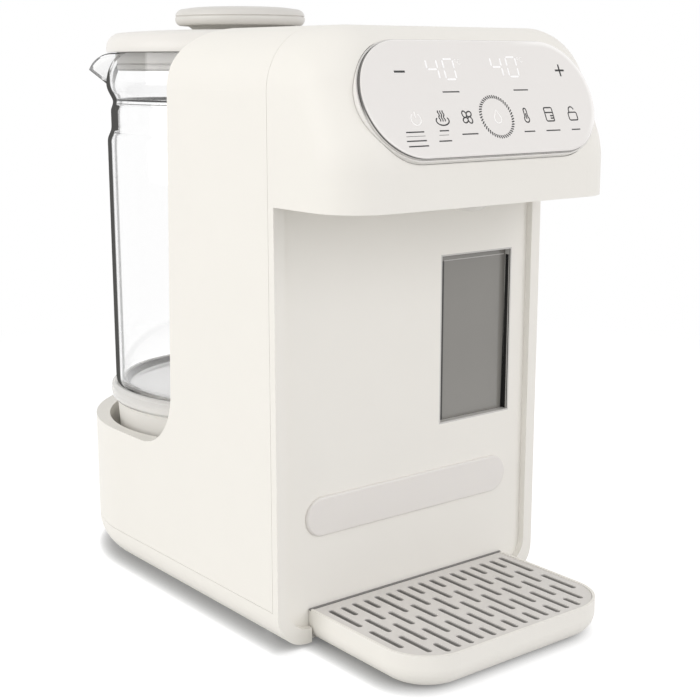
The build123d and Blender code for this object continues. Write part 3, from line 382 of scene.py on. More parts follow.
# %% Rubber and hose
seal_finish = finish("seal_grey", (0.42, 0.41, 0.385), 0.55, grain=0.08)
dress(seal_finish, "coupling_seal", "inner_tank_seal", "seat_ring", "valve_washer")
plug_finish = finish("plug_grey", (0.29, 0.282, 0.265), 0.55, grain=0.08)
dress(plug_finish, "lid_seal")
rubber_finish = finish("black_rubber", (0.03, 0.03, 0.03), 0.7, clouds=0.1, grain=0.15)
dress(rubber_finish, "base_feet")
hose_finish = finish("milky_silicone", (0.70, 0.70, 0.68), 0.45, Subsurface_Weight=0.2,
                     Subsurface_Radius=(0.003, 0.003, 0.003))
dress(hose_finish, "supply_hose", "feed_hose", "delivery_hose")
black_finish = finish("black_moulding", (0.035, 0.035, 0.036), 0.45, clouds=0.08)
dress(black_finish, "fan_frame", "fan_rotor", "pump_housing", "water_coupling", "thermostat",
      "valve_retainer", "mains_inlet")
valve_finish = finish("valve_dark", (0.05, 0.05, 0.052), 0.35, clouds=0.05)
dress(valve_finish, "valve_body", "valve_plunger")

# %% Metal
def brushed(name, base, roughness, line_axis):
    """Metal with fine lines along one axis."""
    made = finish(name, base, roughness, clouds=0.05, polish=0.08, grain=0.0, Metallic=1.0)
    tree = made.node_tree
    shader = tree.nodes["Principled BSDF"]
    coords = node(tree, "ShaderNodeTexCoord")
    stretch = node(tree, "ShaderNodeMapping")
    stretch.inputs["Scale"].default_value = [60.0 if axis == line_axis else 4000.0
                                             for axis in "XYZ"]
    lines = node(tree, "ShaderNodeTexNoise", Scale=1.0, Detail=3.0)
    bump = node(tree, "ShaderNodeBump", Strength=0.2, Distance=0.00005)
    tree.links.new(coords.outputs["Object"], stretch.inputs["Vector"])
    tree.links.new(stretch.outputs["Vector"], lines.inputs["Vector"])
    tree.links.new(lines.outputs["Fac"], bump.inputs["Height"])
    tree.links.new(bump.outputs["Normal"], shader.inputs["Normal"])
    return made


steel_finish = brushed("bright_steel", (0.62, 0.62, 0.63), 0.28, "Z")
dress(steel_finish, "cover_screws", "board_screws", "knob_screw", "valve_spring", "pump_motor")
alloy_finish = finish("cast_alloy", (0.55, 0.55, 0.56), 0.5, clouds=0.08, grain=0.4,
                      grain_size=0.8, Metallic=1.0)
dress(alloy_finish, "tank_heater")
rotor_finish = finish("rotor_white", (0.75, 0.75, 0.73), 0.4)
dress(rotor_finish, "pump_rotor")

# %% Circuit boards
board_finish = finish("circuit_board", (0.03, 0.16, 0.07), 0.4, clouds=0.2, grain=0.0)
tree = board_finish.node_tree
coords = node(tree, "ShaderNodeTexCoord")
tracks = node(tree, "ShaderNodeTexBrick", Scale=220.0, Mortar_Size=0.06)
tracks.inputs["Color1"].default_value = (0.02, 0.13, 0.06, 1)
tracks.inputs["Color2"].default_value = (0.03, 0.17, 0.08, 1)
tracks.inputs["Mortar"].default_value = (0.10, 0.34, 0.16, 1)
turn = node(tree, "ShaderNodeMapping")
turn.inputs["Rotation"].default_value = (radians(90), 0, 0)
tree.links.new(coords.outputs["Object"], turn.inputs["Vector"])
tree.links.new(turn.outputs["Vector"], tracks.inputs["Vector"])
tree.links.new(tracks.outputs["Color"], tree.nodes["Principled BSDF"].inputs["Base Color"])
dress(board_finish, "power_board", "control_board", "night_light_board")
display_finish = finish("display_black", (0.02, 0.02, 0.022), 0.15, clouds=0.1, grain=0.0)
dress(display_finish, "display_modules")

# %% [markdown]
# ## Glass
#
# Clear glass on a white set shows as lines, not as a surface: where the wall is seen edge
# on, and where it bends at the waist and the foot, it gathers the dark parts of a room.
# Here there is no dark room, so these lines are painted into the base colour as painted
# reflection, and the glass floor is painted white, a painted reflection too.
# Layer Weight knows how edge-on a spot is. Only rays that enter the glass from outside
# count, or every wall behind would darken the view again, so the face's normal is compared
# with the direction from the jug's axis. Lamps shine through by the Light Path node, or
# the jug would be dark inside.

# %% Helpers for clear things
GLASS_IOR, LAMP_TINT = 1.47, 0.95


def lamps_pass(tree, shader, tint):
    """Lets the rays of lamps straight through a clear shader."""
    path = node(tree, "ShaderNodeLightPath")
    open_way = node(tree, "ShaderNodeBsdfTransparent", Color=(tint, tint, tint, 1))
    choose = node(tree, "ShaderNodeMixShader")
    tree.links.new(path.outputs["Is Shadow Ray"], choose.inputs[0])
    tree.links.new(shader.outputs[0], choose.inputs[1])
    tree.links.new(open_way.outputs[0], choose.inputs[2])
    tree.links.new(choose.outputs[0], tree.nodes["Material Output"].inputs["Surface"])


def smears(tree, shader, roughness):
    """Uneven polish, as fingers leave it."""
    coords = node(tree, "ShaderNodeTexCoord")
    smear = node(tree, "ShaderNodeTexNoise", Scale=45.0, Detail=3.0)
    span = node(tree, "ShaderNodeMapRange")
    span.inputs["To Min"].default_value = roughness
    span.inputs["To Max"].default_value = roughness + 0.03
    tree.links.new(coords.outputs["Object"], smear.inputs["Vector"])
    tree.links.new(smear.outputs["Fac"], span.inputs["Value"])
    tree.links.new(span.outputs["Result"], shader.inputs["Roughness"])


# %% Clear moulding and bead
def clear(name, middle, rim, roughness, start):
    """Glass that turns from one tint to a darker one where it is seen edge on."""
    made = bpy.data.materials.new(name)
    made.use_nodes = True
    tree = made.node_tree
    shader = tree.nodes["Principled BSDF"]
    shader.inputs["Transmission Weight"].default_value = 1.0
    shader.inputs["IOR"].default_value = GLASS_IOR
    weight = node(tree, "ShaderNodeLayerWeight", Blend=0.5)
    # painted reflection: the tint darkens where the glass is seen edge on
    ramp = node(tree, "ShaderNodeValToRGB")
    ramp.color_ramp.elements[0].position = start
    ramp.color_ramp.elements[0].color = (*middle, 1)
    ramp.color_ramp.elements[1].color = (*rim, 1)
    tree.links.new(weight.outputs["Facing"], ramp.inputs["Fac"])
    tree.links.new(ramp.outputs["Color"], shader.inputs["Base Color"])
    smears(tree, shader, roughness)
    lamps_pass(tree, shader, LAMP_TINT)
    return made


bead_finish = finish("clear_bead", (0.96, 0.95, 0.93), 0.22, clouds=0.01, polish=0.03, grain=0.0,
                     Transmission_Weight=0.5, IOR=1.45)
lamps_pass(bead_finish.node_tree, bead_finish.node_tree.nodes["Principled BSDF"], 0.9)
dress(bead_finish, "jug_collar")
tank_finish = clear("tank_clear", (0.86, 0.87, 0.86), (0.5, 0.5, 0.5), 0.15, 0.5)
dress(tank_finish, "inner_tank", "inner_tank_lid")

# %% Where a spot of the jug's glass lies
JUG_AXIS = Vector((0.0, 70.1, 0.0)) * MM
WALL_SIDE = 0.005

jug_glass_finish = bpy.data.materials.new("jug_glass")
jug_glass_finish.use_nodes = True
tree = jug_glass_finish.node_tree
shader = tree.nodes["Principled BSDF"]
shader.inputs["IOR"].default_value = GLASS_IOR
smears(tree, shader, 0.0)

place, parts, _ = spot(tree)
height = parts["Z"]
from_axis = node(tree, "ShaderNodeVectorMath", operation="MULTIPLY_ADD")
from_axis.inputs[1].default_value = (1.0, 1.0, 0.0)
from_axis.inputs[2].default_value = -JUG_AXIS
outward = from_axis.outputs[0]
geometry = node(tree, "ShaderNodeNewGeometry")
turned = node(tree, "ShaderNodeVectorMath", operation="DOT_PRODUCT")
tree.links.new(place, from_axis.inputs[0])
tree.links.new(outward, turned.inputs[0])
tree.links.new(geometry.outputs["Normal"], turned.inputs[1])
entering = joined(tree, "SUBTRACT", 1.0, geometry.outputs["Backfacing"])
outer = product(tree, entering,
                joined(tree, "GREATER_THAN", turned.outputs["Value"], WALL_SIDE))
inner = product(tree, entering,
                joined(tree, "LESS_THAN", turned.outputs["Value"], -WALL_SIDE))
facing = node(tree, "ShaderNodeLayerWeight", Blend=0.5).outputs["Facing"]
print("jug axis", tuple(round(v / MM, 1) for v in JUG_AXIS), "mm")

# %% Painted dark lines along the walls and round the waist and foot
EDGE_FROM, EDGE_FULL = 0.735, 0.775
INNER_FROM, INNER_TO = 0.78, 0.88
NECK_Z, NECK_PULL = (240.5 * MM, 254.0 * MM), 0.085
WAIST_Z = 255.6 * MM
GLASS_FLOOR, GLASS_FOOT = 96.0 * MM, 93.6 * MM

in_neck = band(tree, height, *NECK_Z, 0.4 * MM)
edge_on = joined(tree, "ADD", facing, product(tree, in_neck, NECK_PULL))
# painted reflection: the wall is dark where it is seen edge on
outline = product(tree, outer, level(tree, edge_on, EDGE_FROM, EDGE_FULL))
# painted reflection: dark bands on the inner wall, round the waist and thread, at the foot and
# above the floor
inner_line = product(tree, inner, band(tree, facing, INNER_FROM, INNER_TO, 0.02))
near_waist = product(tree, outer,
                     band(tree, height, WAIST_Z + 0.7 * MM, WAIST_Z + 1.7 * MM, 0.15 * MM))
near_thread = product(tree, outer,
                      band(tree, height, WAIST_Z - 1.0 * MM, WAIST_Z - 0.5 * MM, 0.15 * MM))
far_waist = product(tree, inner,
                    band(tree, height, WAIST_Z - 0.9 * MM, WAIST_Z + 1.0 * MM, 0.2 * MM))
foot_line = product(tree, outer, level(tree, height, GLASS_FOOT + 1.0 * MM, GLASS_FOOT))
foot_band = product(tree, inner, band(tree, height, GLASS_FLOOR + 0.5 * MM,
                                      GLASS_FLOOR + 3.2 * MM, 0.3 * MM))
print("waist at", round(WAIST_Z / MM, 1), "mm, floor at", round(GLASS_FLOOR / MM, 1), "mm")

# %% Painted dark lines of the pouring lip, in millimetres
LIP_WAY = Vector((cos(radians(150)), sin(radians(150)), 0))
KEEL_SLOPE = 1.222
KEEL_FOOT = 74.0 - KEEL_SLOPE * 265.0
RIM_START, RIM_TOP, RIM_FALL, RIM_BEND = 70.0, 281.4, 0.01646, 2.446
LIP_FROM, TIP_FROM = 75.8, 80.2

reach = product(tree, toward(tree, outward, LIP_WAY), 1000.0)
rise = product(tree, height, 1000.0)
under_keel = joined(tree, "MULTIPLY_ADD", rise, -KEEL_SLOPE, reach)
keel = level(tree, under_keel, KEEL_FOOT - 3.0, KEEL_FOOT - 2.3)
past_mouth = joined(tree, "MAXIMUM", joined(tree, "SUBTRACT", reach, RIM_START), 0.0)
sag = product(tree, joined(tree, "POWER", past_mouth, RIM_BEND), RIM_FALL)
under_rim = joined(tree, "SUBTRACT", RIM_TOP, joined(tree, "ADD", rise, sag))
lip_edge = joined(tree, "MAXIMUM", level(tree, under_rim, 1.5, 1.1),
                  level(tree, reach, TIP_FROM, TIP_FROM + 1.0))
lip = product(tree, outer, level(tree, reach, LIP_FROM, LIP_FROM + 1.0),
              joined(tree, "MAXIMUM", keel, lip_edge))
print("lip from", LIP_FROM, "mm, tip from", TIP_FROM, "mm off the axis")

# %% The jug's glass put together
FLOOR_WHITE_SHARE, LINE_BODY = 0.85, 0.5

# painted reflection: the glass floor is painted white and made mostly opaque
upward = product(tree, entering,
                 level(tree, toward(tree, geometry.outputs["Normal"], (0, 0, 1)), 0.3, 0.5))
glass_floor_painted_white = product(tree, upward,
                  level(tree, height, GLASS_FLOOR + 1.0 * MM, GLASS_FLOOR + 0.5 * MM))
lines = joined(tree, "MAXIMUM", near_waist, far_waist)
for share, mask in ((0.9, near_thread), (0.95, inner_line), (0.9, foot_line), (0.8, foot_band),
                    (0.9, lip)):
    lines = joined(tree, "MAXIMUM", lines, product(tree, mask, share))
tint = node(tree, "ShaderNodeMix", data_type="RGBA")
tint.inputs["A"].default_value = (0.995, 0.995, 0.995, 1)
tint.inputs["B"].default_value = (0.02, 0.02, 0.02, 1)
tree.links.new(lines, tint.inputs["Factor"])
tree.links.new(tint.outputs["Result"], shader.inputs["Base Color"])
# painted reflection: the dark outline and lines go into the base colour and make the glass less
# clear
overlaid(tree, outline, (0.085, 0.085, 0.083))
solid = joined(tree, "MAXIMUM", outline, product(tree, lines, LINE_BODY))
opaque = joined(tree, "MAXIMUM", solid, product(tree, glass_floor_painted_white, FLOOR_WHITE_SHARE))
tree.links.new(joined(tree, "SUBTRACT", 1.0, opaque), shader.inputs["Transmission Weight"])
tree.links.new(joined(tree, "MULTIPLY_ADD", solid, -0.5, 0.5),
               shader.inputs["Specular IOR Level"])
lamps_pass(tree, shader, LAMP_TINT)
dress(jug_glass_finish, "jug_glass")

# %% [markdown]
# ## The touch panel
#
# The panel is a pill of back-painted glass: opaque, pale and mirror-smooth. Round its ground
# edge a dark line is painted, a painted reflection and the shade of the gap by the bezel, so
# the finish changes with the depth behind the face. That depth is one dot product with the
# panel's own normal. Where the edge leans to the right a painted highlight lightens it, and a
# painted highlight gives the face a pale border there; where the edge leans up to the left a
# painted shade darkens it.

# %% The panel's own frame
PANEL_TILT = 0.43
PANEL_CENTRE = Vector((0.0, -125.3, 261.5)) * MM
PILL_HALF, PILL_R = 70.6 * MM, 27.5 * MM
PANEL_NORMAL = Vector((0.0, -cos(PANEL_TILT), sin(PANEL_TILT)))
PANEL_UP = Vector((0.0, sin(PANEL_TILT), cos(PANEL_TILT)))
PANEL_FRAME = Matrix((
    (MM, 0, 0, PANEL_CENTRE.x),
    (0, PANEL_UP.y * MM, PANEL_NORMAL.y * MM, PANEL_CENTRE.y),
    (0, PANEL_UP.z * MM, PANEL_NORMAL.z * MM, PANEL_CENTRE.z),
    (0, 0, 0, 1),
))
print("panel leans", round(PANEL_TILT, 2), "rad")

# %% Panel glass with a ground edge
panel_finish = finish("panel_glass", (0.82, 0.798, 0.775), 0.22, clouds=0.006, polish=0.02,
                      grain=0.0, Coat_Weight=1.0, Coat_Roughness=0.03)
tree = panel_finish.node_tree
place, parts, normal = spot(tree)
behind = toward(tree, place, PANEL_NORMAL)
face_depth = PANEL_CENTRE.dot(PANEL_NORMAL)
lean_right = toward(tree, normal, (0.6, 0.0, 0.8))
lean_left = toward(tree, normal, (-0.7, 0.0, 0.7))
# painted highlight on the edge where it leans to the right
painted_rim_highlight = product(tree, level(tree, lean_right, 0.45, 0.75),
                     band(tree, behind, face_depth - 0.42 * MM, face_depth - 0.02 * MM,
                          0.01 * MM))
# painted reflection and shade: a dark line round the ground edge
painted_dark_edge = band(tree, behind, face_depth - 1.25 * MM, face_depth - 0.4 * MM, 0.12 * MM)
# painted shade on the edge where it leans up to the left
painted_side_shade = product(tree, level(tree, lean_left, 0.4, 0.7),
                      level(tree, behind, face_depth - 0.3 * MM, face_depth - 0.6 * MM), 0.95)
print("face", round(face_depth / MM, 1), "mm along the panel's normal")

# %% Painted highlight at the panel's right end
past_end = joined(tree, "MAXIMUM", joined(tree, "SUBTRACT", parts["X"], PILL_HALF - PILL_R), 0.0)
off_middle = joined(tree, "SUBTRACT", toward(tree, place, PANEL_UP), PANEL_CENTRE.dot(PANEL_UP))
to_border = joined(tree, "SQRT", joined(tree, "ADD", joined(tree, "POWER", past_end, 2.0),
                                        product(tree, off_middle, off_middle)))
# painted highlight: a pale border near the right end of the face
border = product(tree, level(tree, to_border, PILL_R - 3.4 * MM, PILL_R - 0.9 * MM),
                 level(tree, parts["X"], 20 * MM, 50 * MM),
                 level(tree, off_middle, -0.9 * PILL_R, -0.4 * PILL_R))
overlaid(tree, joined(tree, "MAXIMUM", painted_rim_highlight, border), (0.97, 0.96, 0.94))
overlaid(tree, joined(tree, "MAXIMUM", painted_dark_edge, painted_side_shade), (0.06, 0.058, 0.055))
dress(panel_finish, "control_glass")
bezel_finish = finish("bezel_trim", (0.80, 0.785, 0.755), 0.2, clouds=0.02, grain=0.0)
dress(bezel_finish, "control_bezel")

# %% [markdown]
# ## Printed marks
#
# The icons are drawn as lines in the panel's own plane, in millimetres from its centre,
# and then laid on the glass. A curve with a bevel gives each line its width; pressing the
# tube flat makes it a film of ink. Words are not needed on a pad like this: a plain bar
# under each key does the job in every language.

# %% Inks
ink_finish = finish("ink_grey", (0.02, 0.02, 0.02), 0.4, clouds=0.15, grain=0.0)
lit_finish = finish("lit_white", (0.92, 0.92, 0.92), 0.3, clouds=0.01, grain=0.0,
                    Emission_Color=(1, 1, 1, 1), Emission_Strength=0.1)
soft_lit_finish = finish("soft_lit", (0.92, 0.91, 0.89), 0.3, clouds=0.01, grain=0.0,
                         Emission_Color=(1, 1, 1, 1), Emission_Strength=0.12)
INK_HEIGHT = 0.05


def placed(name, mesh, material):
    """Adds a finished mesh to the scene."""
    mesh.name = name
    mesh.materials.clear()
    mesh.materials.append(material)
    made = bpy.data.objects.new(name, mesh)
    scene.collection.objects.link(made)
    print(name, len(mesh.polygons), "faces")
    return made


def new_object(name, mesh, material, body):
    """Adds a finished mesh to the scene, on its body."""
    made = placed(name, mesh, material)
    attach(made, body)
    return made


def meshed(shape):
    """The mesh of a bmesh that is done with."""
    mesh = bpy.data.meshes.new("shape")
    shape.to_mesh(mesh)
    shape.free()
    return mesh


def plain_mesh(holder):
    """The evaluated result of an object as a mesh; the holder goes."""
    bpy.context.view_layer.update()
    graph = bpy.context.evaluated_depsgraph_get()
    mesh = bpy.data.meshes.new_from_object(holder.evaluated_get(graph))
    data = holder.data
    bpy.data.objects.remove(holder)
    if isinstance(data, bpy.types.Curve):
        bpy.data.curves.remove(data)
    return mesh


def drawn(lines):
    """One flat mesh from (points, width, closed) lines in the panel's plane."""
    merged = bmesh.new()
    for points, width, closed in lines:
        curve = bpy.data.curves.new("ink_line", "CURVE")
        curve.dimensions = "3D"
        curve.bevel_depth = width / 2
        curve.bevel_resolution = 1
        curve.use_fill_caps = not closed
        spline = curve.splines.new("POLY")
        spline.points.add(len(points) - 1)
        for target, (u, v) in zip(spline.points, points):
            target.co = (u, v, 0, 1)
        spline.use_cyclic_u = closed
        holder = bpy.data.objects.new("ink_line", curve)
        scene.collection.objects.link(holder)
        mesh = plain_mesh(holder)
        mesh.transform(Matrix.Diagonal((1, 1, INK_HEIGHT / (width / 2), 1)))
        merged.from_mesh(mesh)
        bpy.data.meshes.remove(mesh)
    return meshed(merged)


# %% Pens for arcs, bars and pills
def arc(u, v, ru, rv, start, end, steps=20, lean=0.0):
    """Points of an elliptic arc, angles in degrees, leaning by a shear."""
    points = []
    for k in range(steps + 1):
        angle = radians(start + (end - start) * k / steps)
        dv = rv * sin(angle)
        points.append((u + ru * cos(angle) + lean * dv, v + dv))
    return points


def loop(u, v, ru, rv, turn=0.0, steps=24):
    """Points round a closed ellipse that is turned by some degrees."""
    c, s = cos(radians(turn)), sin(radians(turn))
    around = [(ru * cos(tau * k / steps), rv * sin(tau * k / steps)) for k in range(steps)]
    return [(u + x * c - y * s, v + x * s + y * c) for x, y in around]


def pill_box(u, v, width, height, radius, steps=4):
    """Points round a rectangle with rounded corners."""
    points = []
    for quarter, (sx, sy) in enumerate(((1, 1), (-1, 1), (-1, -1), (1, -1))):
        cu, cv = u + sx * (width / 2 - radius), v + sy * (height / 2 - radius)
        for k in range(steps + 1):
            angle = radians(90 * (quarter + k / steps))
            points.append((cu + radius * cos(angle), cv + radius * sin(angle)))
    return points


# %% Dark icons
THIN, BOLD = 0.68, 1.0
ICON_V = -9.3
dark_lines = [
    ([(-49.5, 12.4), (-43.4, 12.4)], BOLD, False),
    ([(49.9, 12.5), (55.9, 12.5)], BOLD, False),
    ([(52.9, 9.5), (52.9, 15.5)], BOLD, False),
]

BOWL_U = -29.7
dark_lines.append((arc(BOWL_U, ICON_V - 1.3, 3.7, 2.1, 142, 398, 28), THIN, False))
for offset in (-1.35, 0.0, 1.35):
    wave = [(BOWL_U + offset + 0.28 * sin(k * 1.05), ICON_V - 1.6 + 0.42 * k) for k in range(13)]
    dark_lines.append((wave, THIN, False))

FAN_U = -14.7
for turn in (0, 90, 180, 270):
    c, s = cos(radians(turn + 45)), sin(radians(turn + 45))
    blade = loop(FAN_U + 1.95 * c, ICON_V + 1.95 * s, 1.55, 1.2, turn + 20)
    dark_lines.append((blade, THIN, True))

THERMO_U = 22.0
stem = arc(THERMO_U, ICON_V + 2.4, 0.9, 0.9, 0, 180, 8)
bulb = arc(THERMO_U, ICON_V - 2.0, 1.5, 1.5, 127, 413, 18)
dark_lines.append((stem + bulb, THIN, True))
dark_lines.append(([(THERMO_U, ICON_V + 0.9), (THERMO_U, ICON_V - 1.9)], THIN, False))

CUP_U = 37.2
dark_lines.append((pill_box(CUP_U, ICON_V, 5.2, 6.6, 0.7), THIN, True))
dark_lines.append(([(CUP_U - 2.6, ICON_V + 0.9), (CUP_U + 2.6, ICON_V + 0.9)], THIN, False))
for step in (-0.7, -1.9):
    dark_lines.append(([(CUP_U + 0.4, ICON_V + step), (CUP_U + 2.6, ICON_V + step)], THIN, False))

LOCK_U = 52.9
dark_lines.append((pill_box(LOCK_U, ICON_V - 1.3, 5.6, 3.9, 0.8), THIN, True))
shackle = [(LOCK_U - 1.9, ICON_V + 0.6)] + arc(LOCK_U - 0.2, ICON_V + 1.7, 1.7, 1.7, 180, 10, 12)
dark_lines.append((shackle, THIN, False))

# %% Plain bars under the keys
LABELS = {
    "current": (-20.0, 2.7, 10.0), "set": (23.4, 3.0, 9.3), "cool": (-15.7, -17.2, 9.6),
    "heat": (21.5, -17.2, 6.8), "amount": (37.0, -17.2, 9.3), "lock": (52.3, -17.2, 5.8),
    "boil": (-30.4, -15.2, 5.4), "boil_rule": (-31.2, -17.2, 5.6), "clean": (-31.3, -19.9, 7.4),
    "power": (-47.2, -15.3, 10.2), "power_rule": (-47.4, -17.2, 10.8),
    "hold": (-47.6, -19.3, 11.2), "glow": (-47.2, -21.7, 11.2),
}
for name, (u, v, length) in LABELS.items():
    weight = 0.22 if name.endswith("rule") else 0.62
    dark_lines.append(([(u - length / 2, v), (u + length / 2, v)], weight, False))
ink_mesh = drawn(dark_lines)
ink_mesh.transform(PANEL_FRAME)
new_object("panel_icons", ink_mesh, ink_finish, "root")

# %% [markdown]
# ## Numerals that shine through
#
# Two plain seven-segment readings glow behind the glass. Each bar is a six-sided tile,
# and a digit is just the list of its bars; the list holds the digits 0 and 4.

# %% Seven-segment numerals
BARS = {"0": "abcdef", "4": "bcfg"}
DIGIT_W, DIGIT_H, DIGIT_PITCH, BAR_T, LEAN = 6.2, 9.6, 9.9, 0.85, 0.04
SUNK = 0.02


def bar_tile(u0, v0, u1, v1):
    """Six-sided tile between two points."""
    along = Vector((u1 - u0, v1 - v0)).normalized()
    side = Vector((-along.y, along.x)) * BAR_T / 2
    a, b = Vector((u0, v0)) + along * 0.45, Vector((u1, v1)) - along * 0.45
    nip = along * BAR_T / 2
    return [a, a + nip - side, b - nip - side, b, b - nip + side, a + nip + side]


def digit_tiles(symbol, u, v):
    """Tiles of one digit whose lower left corner is at (u, v)."""
    w, h = DIGIT_W, DIGIT_H
    ends = {"a": (0, h, w, h), "b": (w, h / 2, w, h), "c": (w, 0, w, h / 2), "d": (0, 0, w, 0),
            "e": (0, 0, 0, h / 2), "f": (0, h / 2, 0, h), "g": (0, h / 2, w, h / 2)}
    tiles = []
    for bar in BARS[symbol]:
        tile = bar_tile(*ends[bar])
        tiles.append([(u + p.x + LEAN * p.y, v + p.y) for p in tile])
    return tiles


lit = bmesh.new()
for start_u, start_v, reading in ((-30.4, 8.6, "40"), (9.0, 9.6, "40")):
    for place, symbol in enumerate(reading):
        for tile in digit_tiles(symbol, start_u + place * DIGIT_PITCH, start_v):
            base = lit.faces.new([lit.verts.new((u, v, -SUNK)) for u, v in tile])
            raised = bmesh.ops.extrude_face_region(lit, geom=[base])
            tops = [e for e in raised["geom"] if isinstance(e, bmesh.types.BMVert)]
            bmesh.ops.translate(lit, verts=tops, vec=(0, 0, INK_HEIGHT + SUNK))
bmesh.ops.recalc_face_normals(lit, faces=lit.faces)
numeral_mesh = meshed(lit)
numeral_mesh.transform(PANEL_FRAME)
new_object("panel_numerals", numeral_mesh, lit_finish, "root")

# %% Lit lines: power, drop, degree signs
RING_U, RING_V = 3.4, -9.6
power_key = [
    (arc(-44.7, ICON_V - 0.2, 2.75, 2.75, 125, 415, 28), 0.62, False),
    ([(-44.7, ICON_V + 0.6), (-44.7, ICON_V + 3.3)], 0.62, False),
]
drop = arc(RING_U + 0.4, RING_V - 0.9, 2.1, 2.1, 150, 390, 20) + [(RING_U + 0.4, RING_V + 3.3)]
degree_signs = []
for u, v in ((-12.4, 17.4), (27.1, 18.4)):
    degree_signs.append((loop(u, v, 0.55, 0.55, steps=12), 0.25, True))
    degree_signs.append((arc(u + 2.2, v - 0.5, 0.95, 1.15, 50, 310, 12), 0.25, False))
for name, lines in (("panel_key_lights", power_key + [(drop, 0.6, True)]),
                    ("panel_degree_signs", degree_signs)):
    lit_mesh = drawn(lines)
    lit_mesh.transform(PANEL_FRAME)
    new_object(name, lit_mesh, soft_lit_finish, "root")

# %% [markdown]
# ## The ring of ticks
#
# Round the start key runs a ring of fine slanted ticks. Anything that repeats round a
# circle suits Geometry Nodes: a circle gives the points, one small tick is instanced on
# each, and its turn follows the point's bearing. The tree's own inputs set the count and
# the sizes, so the ring can be redrawn without touching the tree.

# %% A tree that repeats a bar round a circle
def add_inputs(tree, **defaults):
    """Inputs of a geometry tree by name; a whole number makes an integer one."""
    for name, value in defaults.items():
        kind = "NodeSocketInt" if isinstance(value, int) else "NodeSocketFloat"
        socket = tree.interface.new_socket(name.replace("_", " "), in_out="INPUT",
                                           socket_type=kind)
        socket.default_value = value


def ring_tree(finish_material):
    """Geometry tree: slanted bars on a circle."""
    tree = bpy.data.node_groups.new("ticks_on_a_circle", "GeometryNodeTree")
    tree.interface.new_socket("Geometry", in_out="OUTPUT", socket_type="NodeSocketGeometry")
    add_inputs(tree, Count=60, Radius=10.0, Bar_Length=1.4, Bar_Width=0.3, Bar_Height=0.1,
               Slant=0.6)
    given = node(tree, "NodeGroupInput").outputs
    circle = node(tree, "GeometryNodeMeshCircle")
    size = node(tree, "ShaderNodeCombineXYZ")
    bar = node(tree, "GeometryNodeMeshCube")
    place = node(tree, "GeometryNodeInputPosition")
    split = node(tree, "ShaderNodeSeparateXYZ")
    bearing = joined(tree, "ARCTAN2", split.outputs["Y"], split.outputs["X"])
    euler = node(tree, "ShaderNodeCombineXYZ")
    stamp = node(tree, "GeometryNodeInstanceOnPoints")
    real = node(tree, "GeometryNodeRealizeInstances")
    paint = node(tree, "GeometryNodeSetMaterial")
    paint.inputs["Material"].default_value = finish_material
    out = node(tree, "NodeGroupOutput")
    link = tree.links.new
    link(given["Count"], circle.inputs["Vertices"])
    link(given["Radius"], circle.inputs["Radius"])
    link(given["Bar Length"], size.inputs["X"])
    link(given["Bar Width"], size.inputs["Y"])
    link(given["Bar Height"], size.inputs["Z"])
    link(size.outputs[0], bar.inputs["Size"])
    link(place.outputs[0], split.inputs[0])
    link(joined(tree, "ADD", bearing, given["Slant"]), euler.inputs["Z"])
    link(circle.outputs["Mesh"], stamp.inputs["Points"])
    link(bar.outputs["Mesh"], stamp.inputs["Instance"])
    link(euler.outputs[0], stamp.inputs["Rotation"])
    link(stamp.outputs[0], real.inputs[0])
    link(real.outputs[0], paint.inputs["Geometry"])
    link(paint.outputs[0], out.inputs["Geometry"])
    return tree


def grown(tree, settings):
    """The plain mesh that a geometry tree makes with these settings."""
    holder = bpy.data.objects.new("grower", bpy.data.meshes.new("grower"))
    scene.collection.objects.link(holder)
    modifier = holder.modifiers.new("grow", "NODES")
    modifier.node_group = tree
    for item in tree.interface.items_tree:
        if item.in_out == "INPUT" and item.name in settings:
            modifier[item.identifier] = settings[item.name]
    return plain_mesh(holder)


tick_mesh = grown(ring_tree(ink_finish), {"Count": 46, "Radius": 9.6, "Bar Length": 1.7,
                                          "Bar Width": 0.62, "Bar Height": 2 * INK_HEIGHT,
                                          "Slant": 0.5})
tick_mesh.transform(Matrix.Translation((RING_U, RING_V, 0)))
tick_mesh.transform(PANEL_FRAME)
new_object("start_ring_ticks", tick_mesh, ink_finish, "root")

# %% [markdown]
# ## The smoked window
#
# Behind the front panel a tank is heated, and a smoked pane lets its level be seen. The
# pane is a slab with a ground slope round its face, held in a square frame. A black film
# at its right is painted shade for the gap at the pane's edge, thin dark lines run along
# the opening's sides, and a pale film along the top is a painted highlight.

# %% Pane and slot
frame_low, frame_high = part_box("window_frame")
pane_low, pane_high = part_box("level_window")
TUNNEL = 0.8 * MM
LIP = 3.0 * MM
open_x0, open_x1 = frame_low.x + LIP + TUNNEL, frame_high.x - LIP - TUNNEL
open_z0, open_z1 = frame_low.z + LIP + TUNNEL, frame_high.z - LIP - TUNNEL
print("opening", [round(v / MM, 1) for v in (open_x0, open_x1, open_z0, open_z1)])

pane_finish = finish("smoked_pane", (0.235, 0.228, 0.21), 0.16, clouds=0.03, polish=0.02,
                     grain=0.0, Coat_Weight=0.6, Coat_Roughness=0.04)


